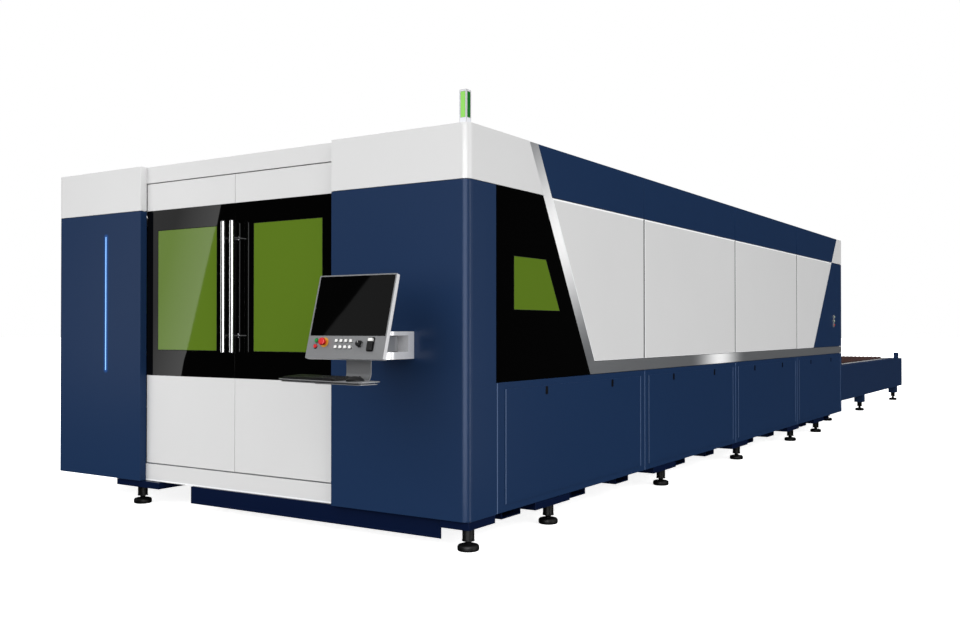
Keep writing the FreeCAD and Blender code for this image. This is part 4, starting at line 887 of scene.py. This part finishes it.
# Light strip and tower lamp. The strip is a milky blue diffuser with rounded ends, let into the
# left column. The lamp is a white base and cap on four posts with green panes, lit front and back;
# its side panes take a darker copy of the green, painted shade.
def lit_plastic(name, colour, glow, strength, rib=0.0):
    """Translucent plastic with light behind it; rib is the spacing of its moulded ribs in mm."""
    material = new_material(name)
    place = add_node(material, "ShaderNodeTexCoord").outputs["Object"]
    ribs = add_node(
        material,
        "ShaderNodeTexWave",
        {"Vector": place, "Scale": 1 / (rib * MM) / 2 if rib else 30.0},
        bands_direction="Z",
    )
    skin = add_node(
        material,
        "ShaderNodeBump",
        {"Height": ribs.outputs["Fac"], "Strength": 0.3 if rib else 0.03, "Distance": 0.4 * MM},
    )
    return show(
        material,
        {
            "Base Color": to_linear(colour),
            "Roughness": 0.3,
            "Specular IOR Level": 0.2,
            "Normal": skin,
            "Emission Color": to_linear(glow),
            "Emission Strength": strength,
        },
    )


strip_light = lit_plastic("blue_light_diffuser", "#9cc4f2", "#5fa8f5", 0.75)
lit_lens = lit_plastic("lit_green_lens", "#7ab555", "#8ed860", 0.35, 6)
side_lens_painted_shade = lit_plastic("green_lens", "#05641a", "#0f7a22", 0.05, 6)
lamp_white = moulded("white_lamp_housing", "#d9dbe0", 0.35)
lamp_rim = moulded("grey_lamp_rim", "#a39fa1", 0.4)
strip_mesh = softened(slab(STRIP_LOW / MM, STRIP_HIGH / MM, 3.6, "Y"), 0.6)
new_piece("light_diffuser", strip_mesh, strip_light, "machine", ["led_strip"])
eased("lamp_frame", [lamp_white, lamp_rim], 2.2, lit_edges=True)
# The side panes take the darker green: painted shade.
eased("lamp_lenses", [lit_lens, side_lens_painted_shade], 0.6, second=lambda p, normal: abs(normal.x) > 0.5)

# Exchange table. Box beams on legs with cross tubes, ledges for the pallet wheels, and a gearmotor
# with a finned housing on the middle cross tube.
dark_steel = powder_coat("dark_navy_powder_coat", "#1a2d4c", shine=0.1)
# The beams' inner edges stay sharp: where the beams end, a rounded edge would stand past the frame.
BEAM_INSIDE = 1450 * MM
eased("table_frame", dark_steel, 4, reach=lambda p: abs(abs(p.x) - BEAM_INSIDE) > 2 * MM)
drive_low, drive_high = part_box("table_drive")
GEAR_HALF, SHAFT_Z = 60, 290
drive_y = (drive_low.y - FRONT) / MM + GEAR_HALF
gear_low = (-GEAR_HALF, drive_y - GEAR_HALF, SHAFT_Z - GEAR_HALF)
gear_high = (GEAR_HALF, drive_y + GEAR_HALF, SHAFT_Z + GEAR_HALF)
drive_mesh = softened(slab(gear_low, gear_high, 10, "X"), 3)
fins = [(0, 0), (54, 0), (55, 1.5), (55, 8), (47, 8)]
for number in range(13):
    start = 14 + number * 13
    fins += [(47, start), (54, start + 1), (54, start + 4), (47, start + 5)]
fins += [(47, 186), (52, 188), (53, 192), (53, 232), (50, 238), (44, 240), (0, 240)]
shaft = Matrix.Translation((GEAR_HALF * MM, drive_y * MM, SHAFT_Z * MM))
add_shape(drive_mesh, turned(fins, 36), shaft @ Matrix.Rotation(math.pi / 2, 4, "Y"))
add_shape(drive_mesh, softened(slab((110, drive_y - 32, 340), (190, drive_y + 32, 372), 6), 2))
new_piece(
    "gearmotor",
    drive_mesh,
    grey_coat,
    "machine",
    ["table_drive"],
    at(0, 0, 0),
)


# Pallets. Welded frames on wheels, with laser-cut slats standing across them: 5 mm steel with a row
# of points, brown and violet from the heat of the cutting.
def burnt_steel(name, clean, burnt, height, deep):
    """Hot-rolled steel, tinted towards its points; height and depth of the tint in metres."""
    material = new_material(name)
    place = add_node(material, "ShaderNodeTexCoord").outputs["Object"]
    upright = add_node(material, "ShaderNodeSeparateXYZ", {0: place}).outputs["Z"]
    scale = add_node(material, "ShaderNodeTexNoise", {"Vector": place, "Scale": 9.0, "Detail": 6.0})
    tint = add_node(
        material,
        "ShaderNodeMapRange",
        {"Value": upright, "From Min": height - deep, "From Max": height},
    )
    share = add_node(material, "ShaderNodeMath", {0: tint, 1: scale}, operation="MULTIPLY")
    colour = add_node(
        material,
        "ShaderNodeMix",
        {0: share, 6: to_linear(clean), 7: to_linear(burnt)},
        data_type="RGBA",
    )
    spread = add_node(
        material, "ShaderNodeMapRange", {"Value": scale, "To Min": 0.42, "To Max": 0.7}
    )
    return show(material, {"Base Color": colour.outputs[2], "Metallic": 0.35, "Roughness": spread})


SLAT_PITCH, SLAT_THICK, SLAT_INSET, TOOTH_PITCH, TOOTH_DEEP = 100, 5, 3, 66, 30
for level in ("upper", "lower"):
    low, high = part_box(f"{level}_pallet_slats")
    eased(f"{level}_pallet_frame", grey_coat, 3)
    steel = burnt_steel(f"{level}_slat_steel", "#4a3f42", "#6a4030", high.z, 0.06)
    teeth = round((high.x - low.x) / MM / TOOTH_PITCH)
    count = round((high.y - low.y) / MM / SLAT_PITCH)
    slat = bmesh.new()
    bmesh.ops.create_grid(slat, x_segments=2 * teeth, y_segments=1, size=0.5)
    bmesh.ops.scale(slat, vec=(high.x - low.x, (high.z - low.z), 1), verts=slat.verts)
    step = (high.x - low.x) / (2 * teeth)
    tops = [v for v in slat.verts if v.co.y > 0]
    valleys = [v for v in tops if round((v.co.x + (high.x - low.x) / 2) / step) % 2 == 0]
    bmesh.ops.translate(slat, vec=(0, -TOOTH_DEEP * MM, 0), verts=valleys)
    bmesh.ops.solidify(slat, geom=slat.faces[:], thickness=SLAT_THICK * MM)
    bmesh.ops.recalc_face_normals(slat, faces=slat.faces)
    stand = Matrix.Rotation(math.pi / 2, 4, "X")
    middle_z = (low.z + high.z) / 2
    first = low.y + SLAT_INSET * MM
    run = (high.y - low.y - 2 * SLAT_INSET * MM) / (count - 1)
    lengths = [first + number * run for number in range(count)]
    rows = [Matrix.Translation((0, y, middle_z)) @ stand for y in lengths]
    new_piece(
        f"{level}_toothed_slats",
        add_shape(bmesh.new(), slat, *rows),
        steel,
        f"{level}_pallet",
        [f"{level}_pallet_slats"],
    )

# Console bracket and arm. A cast bracket with a deep mouth is bolted to the right column; a ground
# pin holds the round knuckle of the arm in it. Both castings are enamelled silver; the bracket
# takes a paler copy of the enamel, painted light.
pale_silver_painted_light = brushed_metal("pale_silver_enamel_painted_light", "#dcdcde", (0.006, 0.006, 0.006), 0.34, 0.3)
eased("console_bracket", pale_silver_painted_light, 2)
eased("console_arm", silver_paint, 2)
arm_low, arm_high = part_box("console_arm")
pin_low, pin_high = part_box("bracket_pin")
PIN_RADIUS = 12
pivot = pin_low + Vector((PIN_RADIUS, PIN_RADIUS, 0)) * MM
RING = [(94, 0), (96.2, 0), (96.2, 3.5), (94, 3.5), (94, 0)]
RING_LIFT = 0.2 * MM
ring_heights = (arm_low.z + RING_LIFT, arm_high.z - RING_LIFT - RING[2][1] * MM)
ring_places = [Matrix.Translation((pivot.x, pivot.y, low)) for low in ring_heights]
rings = add_shape(bmesh.new(), turned(RING, 48), *ring_places)
new_piece("knuckle_seals", rings, rubber, "console")
eased("bracket_pin", guide_steel, 0.5)
pin_middle = (pin_low + pin_high) / 2
pin_head = turned([(0, 0), (20, 0), (20, 3), (18.5, 4.4), (0, 5)], 28)
pin_top = Matrix.Translation((pin_middle.x, pin_middle.y, pin_high.z))
pin_end = Matrix.Translation((pin_middle.x, pin_middle.y, pin_low.z))
pin_heads = add_shape(bmesh.new(), pin_head, pin_top, pin_end @ Matrix.Rotation(math.pi, 4, "X"))
new_piece("pin_heads", pin_heads, guide_steel, "machine")

# Console housing. A folded and welded case with a rounded front frame, enamelled silver and tilted
# back; its sides and back take the paler copy, painted light, and its front the darker silver. The
# screen is a sheet of black glass in a shallow recess.
CONSOLE_X = HALF_WIDTH / MM - 482
CONSOLE_LEAN = math.radians(15.18)
CONSOLE = at(CONSOLE_X, -400, 1270) @ Matrix.Rotation(-CONSOLE_LEAN, 4, "X")
PANEL_WIDE, PANEL_HIGH, RIM_WIDE = 533, 464, 20
FRONT_FACING = -0.95
to_panel = CONSOLE.inverted()


def on_rim(p):
    """Whether a point lies on the housing's outer edge."""
    local = to_panel @ p / MM
    across, up = PANEL_WIDE / 2 - RIM_WIDE, PANEL_HIGH / 2 - RIM_WIDE
    return abs(local.x) > across or abs(local.z) > up


# Faces other than the front take the paler silver: painted light.
eased(
    "console_housing",
    [silver_paint, pale_silver_painted_light],
    3,
    reach=on_rim,
    second=lambda p, normal: (to_panel.to_3x3() @ normal).y > FRONT_FACING,
    segments=3,
)
screen_glass = glossy("console_screen_glass", "#020202", 0.03, 0.25)
panel_out = (CONSOLE.to_3x3() @ Vector((0, -1, 0))).normalized()
screen_pane = (CONSOLE.translation, panel_out, 3.0)
slant_low = CONSOLE @ Vector((-0.183, 0, -0.135))
slant_high = CONSOLE @ Vector((0.265, 0, 0.45))
add_mirrored_card("screen_card", screen_pane, slant_low, slant_high, width=2.0, side=1, power=3.4)
SCREEN_WIDE, SCREEN_HIGH, SCREEN_MARGIN = 516, 332, 7
screen_top = PANEL_HIGH / 2 - SCREEN_MARGIN
screen_low = (-SCREEN_WIDE / 2, 0.2, screen_top - SCREEN_HIGH)
screen_mesh = softened(slab(screen_low, (SCREEN_WIDE / 2, 4, screen_top), 4, "Y"), 0.8)
new_piece(
    "screen_glass", screen_mesh, screen_glass, "console", ["console_display"], CONSOLE
)


# Console controls, each on its own body. Turned collars sit on the panel; start and stop are dished
# caps, the emergency stop is a domed mushroom over a yellow disc.
def facing_out(across, up):
    """A place on the panel in mm from its left and lower edges; its Z axis points outwards."""
    middle = Matrix.Translation(((across - PANEL_WIDE / 2) * MM, 0, (up - PANEL_HIGH / 2) * MM))
    return CONSOLE @ middle @ Matrix.Rotation(math.pi / 2, 4, "X")


green_plastic = moulded("green_abs", "#17863a", 0.3)
white_plastic = moulded("white_abs", "#e6e6e4", 0.35)
yellow_plastic = moulded("yellow_abs", "#d2942a", 0.35)
BUTTON = [(0, -0.3), (11, -0.3), (11, 6.5), (10.2, 8.3), (8.6, 9), (7.4, 8.4), (6, 8), (0, 7.8)]
COLLAR = [(11.6, 0), (14.5, 0), (14.5, 2.4), (13.6, 3.4), (11.6, 3.4), (11.6, 0)]
start_place, stop_place = facing_out(63.7, 98.5), facing_out(62.4, 66.1)
collars = add_shape(bmesh.new(), turned(COLLAR, 32), start_place, stop_place)
new_piece("button_collars", collars, chrome, "console")
for name, plastic, slot, place in (
    ("start", green_plastic, "green_plastic", start_place),
    ("stop", red_plastic, "red_plastic", stop_place),
):
    body = f"{name}_button_body"
    new_piece(f"{name}_cap", turned(BUTTON), plastic, body, [f"{name}_button"], place)
MUSHROOM = [(0, -0.3), (11, -0.3), (11, 14), (16, 15), (19.6, 17), (21, 20), (21, 25), (19.8, 28.5)]
MUSHROOM += [(17, 30.8), (12, 32), (0, 32)]
DISC = [(11.6, 0), (27, 0), (27, 1.2), (26, 2), (11.6, 2), (11.6, 0)]
estop_place = facing_out(119.6, 88)
new_piece(
    "estop_mushroom",
    turned(MUSHROOM, 40),
    red_plastic,
    "estop_button_body",
    ["estop_button"],
    estop_place,
)
new_piece(
    "estop_disc", turned(DISC, 48), yellow_plastic, "console", place=estop_place
)

# Keys. Eight moulded white caps in two rows of four, each guided by a slim black frame that is
# snapped into the panel; the frames also stand in for the shade around the caps, painted shade.
# They carry no signs.
black_plastic = moulded("black_abs", "#08080a")
KEY_FIRST, KEY_PITCH, KEY_ROWS = 204, 33, (("upper", 97.5), ("lower", 63.4))
frames = bmesh.new()
for row, up in KEY_ROWS:
    for number in range(4):
        place = facing_out(KEY_FIRST + number * KEY_PITCH, up)
        cap = softened(slab((-8, -8, -0.3), (8, 8, 8), 2.5), 1.4, 3)
        key, slot = f"{row}_key_{number + 1}", "white_plastic"
        new_piece(f"{key}_cap", cap, white_plastic, f"{key}_body", [key], place)
        square = band([(-10, -10, 0), (10, -10, 0), (10, 10, 0), (-10, 10, 0)], 1.6, 2.0, 2)
        add_shape(frames, square, place @ Matrix.Translation((0, 0, 1.0 * MM)))
new_piece("key_frames_painted_shade", frames, black_plastic, "console")

# Feed knob. It is moulded in black plastic, with sixteen ribs around it for the fingers over a
# plain skirt, and a white pointer line is let into its top.
KNOB = [(0, 0.3), (19, 0.3), (19, 2.6), (17.5, 4.2), (15, 5.2), (14.2, 21.6), (13, 23.4), (11, 24)]
RIBS = 16
knob_place = facing_out(365.5, 81)
knob = turned(KNOB + [(0, 24)], 36)
rib = softened(slab((-1.3, 13.4, 5), (1.3, 15.8, 21.6)), 0.5)
add_shape(knob, rib, *[Matrix.Rotation(turn * math.tau / RIBS, 4, "Z") for turn in range(RIBS)])
body = "feed_knob_body"
new_piece("knob_body", knob, black_plastic, body, ["feed_knob"], knob_place)
pointer = softened(slab((-1, 3, 23.6), (1, 12.5, 24.3)), 0.2)
new_piece("knob_pointer", pointer, white_plastic, body, place=knob_place)

# Mode switch. A rocker moulded in black, with a groove across it and a white key let in above, tips
# on a pin inside a raised black frame.
switch_place = facing_out(438.4, 79.6)
rim = band([(-22, -38, 0), (22, -38, 0), (22, 38, 0), (-22, 38, 0)], 4.2, 7.0, 7)
rim_place = switch_place @ Matrix.Translation((0, 0, 3.5 * MM))
new_piece("switch_frame", rim, black_plastic, "console", place=rim_place)
rocker = softened(slab((-17, -33, -4), (17, 15, 12.5), 2.5), 1.2)
add_shape(rocker, softened(slab((-17, -9.5, 12.3), (17, -8.5, 13.6)), 0.3))
body, slot = "mode_switch_body", "black_plastic"
new_piece("rocker_keys", rocker, black_plastic, body, ["mode_switch"], switch_place)
white_key = softened(slab((-14, 15.4, -4), (14, 32, 13.5), 2.5), 1.2)
new_piece("rocker_top_key", white_key, white_plastic, body, place=switch_place)

# Holder and tray. A strip bent from 6 mm steel comes down behind the housing and under a tray of
# two plates with a shadow gap between them.
eased("keyboard_tray", silver_paint, 1.2)
TRAY = at(CONSOLE_X - 20, -553, 940) @ Matrix.Rotation(-math.radians(9), 4, "Z")

# Keyboard. A wedge of moulded black plastic carries six rows of low tapered caps with no lettering.
# It lies loose on the tray.
BOARD_LEFT, BOARD_WIDE, BOARD_DEEP, BOARD_HIGH, BOARD_DROP = -305, 430, 140, 15, 9
board_low = (BOARD_LEFT, -BOARD_DEEP / 2, 0)
board = slab(board_low, (BOARD_LEFT + BOARD_WIDE, BOARD_DEEP / 2, BOARD_HIGH), 8)
low_front = [v for v in board.verts if v.co.y < 0 and v.co.z > 0]
bmesh.ops.translate(board, vec=(0, 0, -BOARD_DROP * MM), verts=low_front)
softened(board, 1.2)
# One key's width with its gap, the caps' size short of it, and how much narrower their tops are.
UNIT, KEY_GAP, CAP_DEEP, TAPER = 18.4, 0.9, 16.8, 3.2
ROW_STEP = UNIT * 1.12
ROWS = [
    [1.25, 1.25, 1.25, 6.25, 1.25, 1.25, 1.25, 1.25],
    [2.25] + [1] * 10 + [2.75],
    [1.75] + [1] * 11 + [2.25],
    [1.5] + [1] * 12 + [1.5],
    [1] * 13 + [2],
    [1] * 15,
]
slope = math.atan2(BOARD_DROP, BOARD_DEEP)
surface = Matrix.Translation((0, 0, 10.5 * MM)) @ Matrix.Rotation(slope, 4, "X")
for row, widths in enumerate(ROWS):
    left = BOARD_LEFT + 7
    for wide in widths + [0.25] + [1] * 3 + [0.25] + [1] * 4:
        if wide >= 1:
            key = slab((left + KEY_GAP, 0, 0), (left + wide * UNIT - KEY_GAP, CAP_DEEP, 5))
            crown = [v for v in key.verts if v.co.z > 0]
            centre = Matrix.Translation(Vector((left + wide * UNIT / 2, CAP_DEEP / 2, 0)) * MM)
            shrink = Matrix.Diagonal((1 - TAPER / (wide * UNIT), 0.8, 1, 1))
            bmesh.ops.transform(key, matrix=centre @ shrink @ centre.inverted(), verts=crown)
            up_board = (row - 3) * ROW_STEP + 1
            add_shape(board, key, surface @ Matrix.Translation((0, up_board * MM, 0)))
        left += wide * UNIT
new_piece("key_board", board, black_plastic, "console", ["keyboard"], TRAY)

# Mouse. A low domed shell of black plastic, cut flat beneath, with a rubber wheel that turns in
# its top; it lies loose beside the keyboard.
MOUSE = TRAY @ Matrix.Translation((0.215, 0, 0))
MOUSE_SIZE = Vector((64, 110, 46)) * MM
NARROWING = 0.35
shell = bmesh.new()
bmesh.ops.create_uvsphere(shell, u_segments=36, v_segments=20, radius=0.5)
for v in shell.verts:
    v.co.z *= 1 - NARROWING * v.co.y
bmesh.ops.scale(shell, vec=MOUSE_SIZE, verts=shell.verts)
bmesh.ops.translate(shell, vec=(0, 0, 2 * MM), verts=shell.verts)
cut = bmesh.ops.bisect_plane(
    shell,
    geom=shell.verts[:] + shell.edges[:] + shell.faces[:],
    plane_co=(0, 0, 0.2 * MM),
    plane_no=(0, 0, -1),
    clear_outer=True,
)
base_rim = [e for e in cut["geom_cut"] if isinstance(e, bmesh.types.BMEdge)]
bmesh.ops.edgeloop_fill(shell, edges=base_rim)
new_piece("mouse_shell", shell, black_plastic, "console", ["mouse"], MOUSE)
wheel = turned([(0, -3), (8, -3), (9, -2), (9, 2), (8, 3), (0, 3)], 24)
wheel_place = Matrix.Translation((0, 0.030, 0.0155)) @ Matrix.Rotation(math.pi / 2, 4, "Y")
new_piece("mouse_wheel", wheel, rubber, "console", place=MOUSE @ wheel_place)

# The cards leave out the pieces in their collections, and light all others.
for unlit_pieces in (unlit, unlit_near):
    for member in unlit_pieces.collection_objects:
        member.light_linking.link_state = "EXCLUDE"
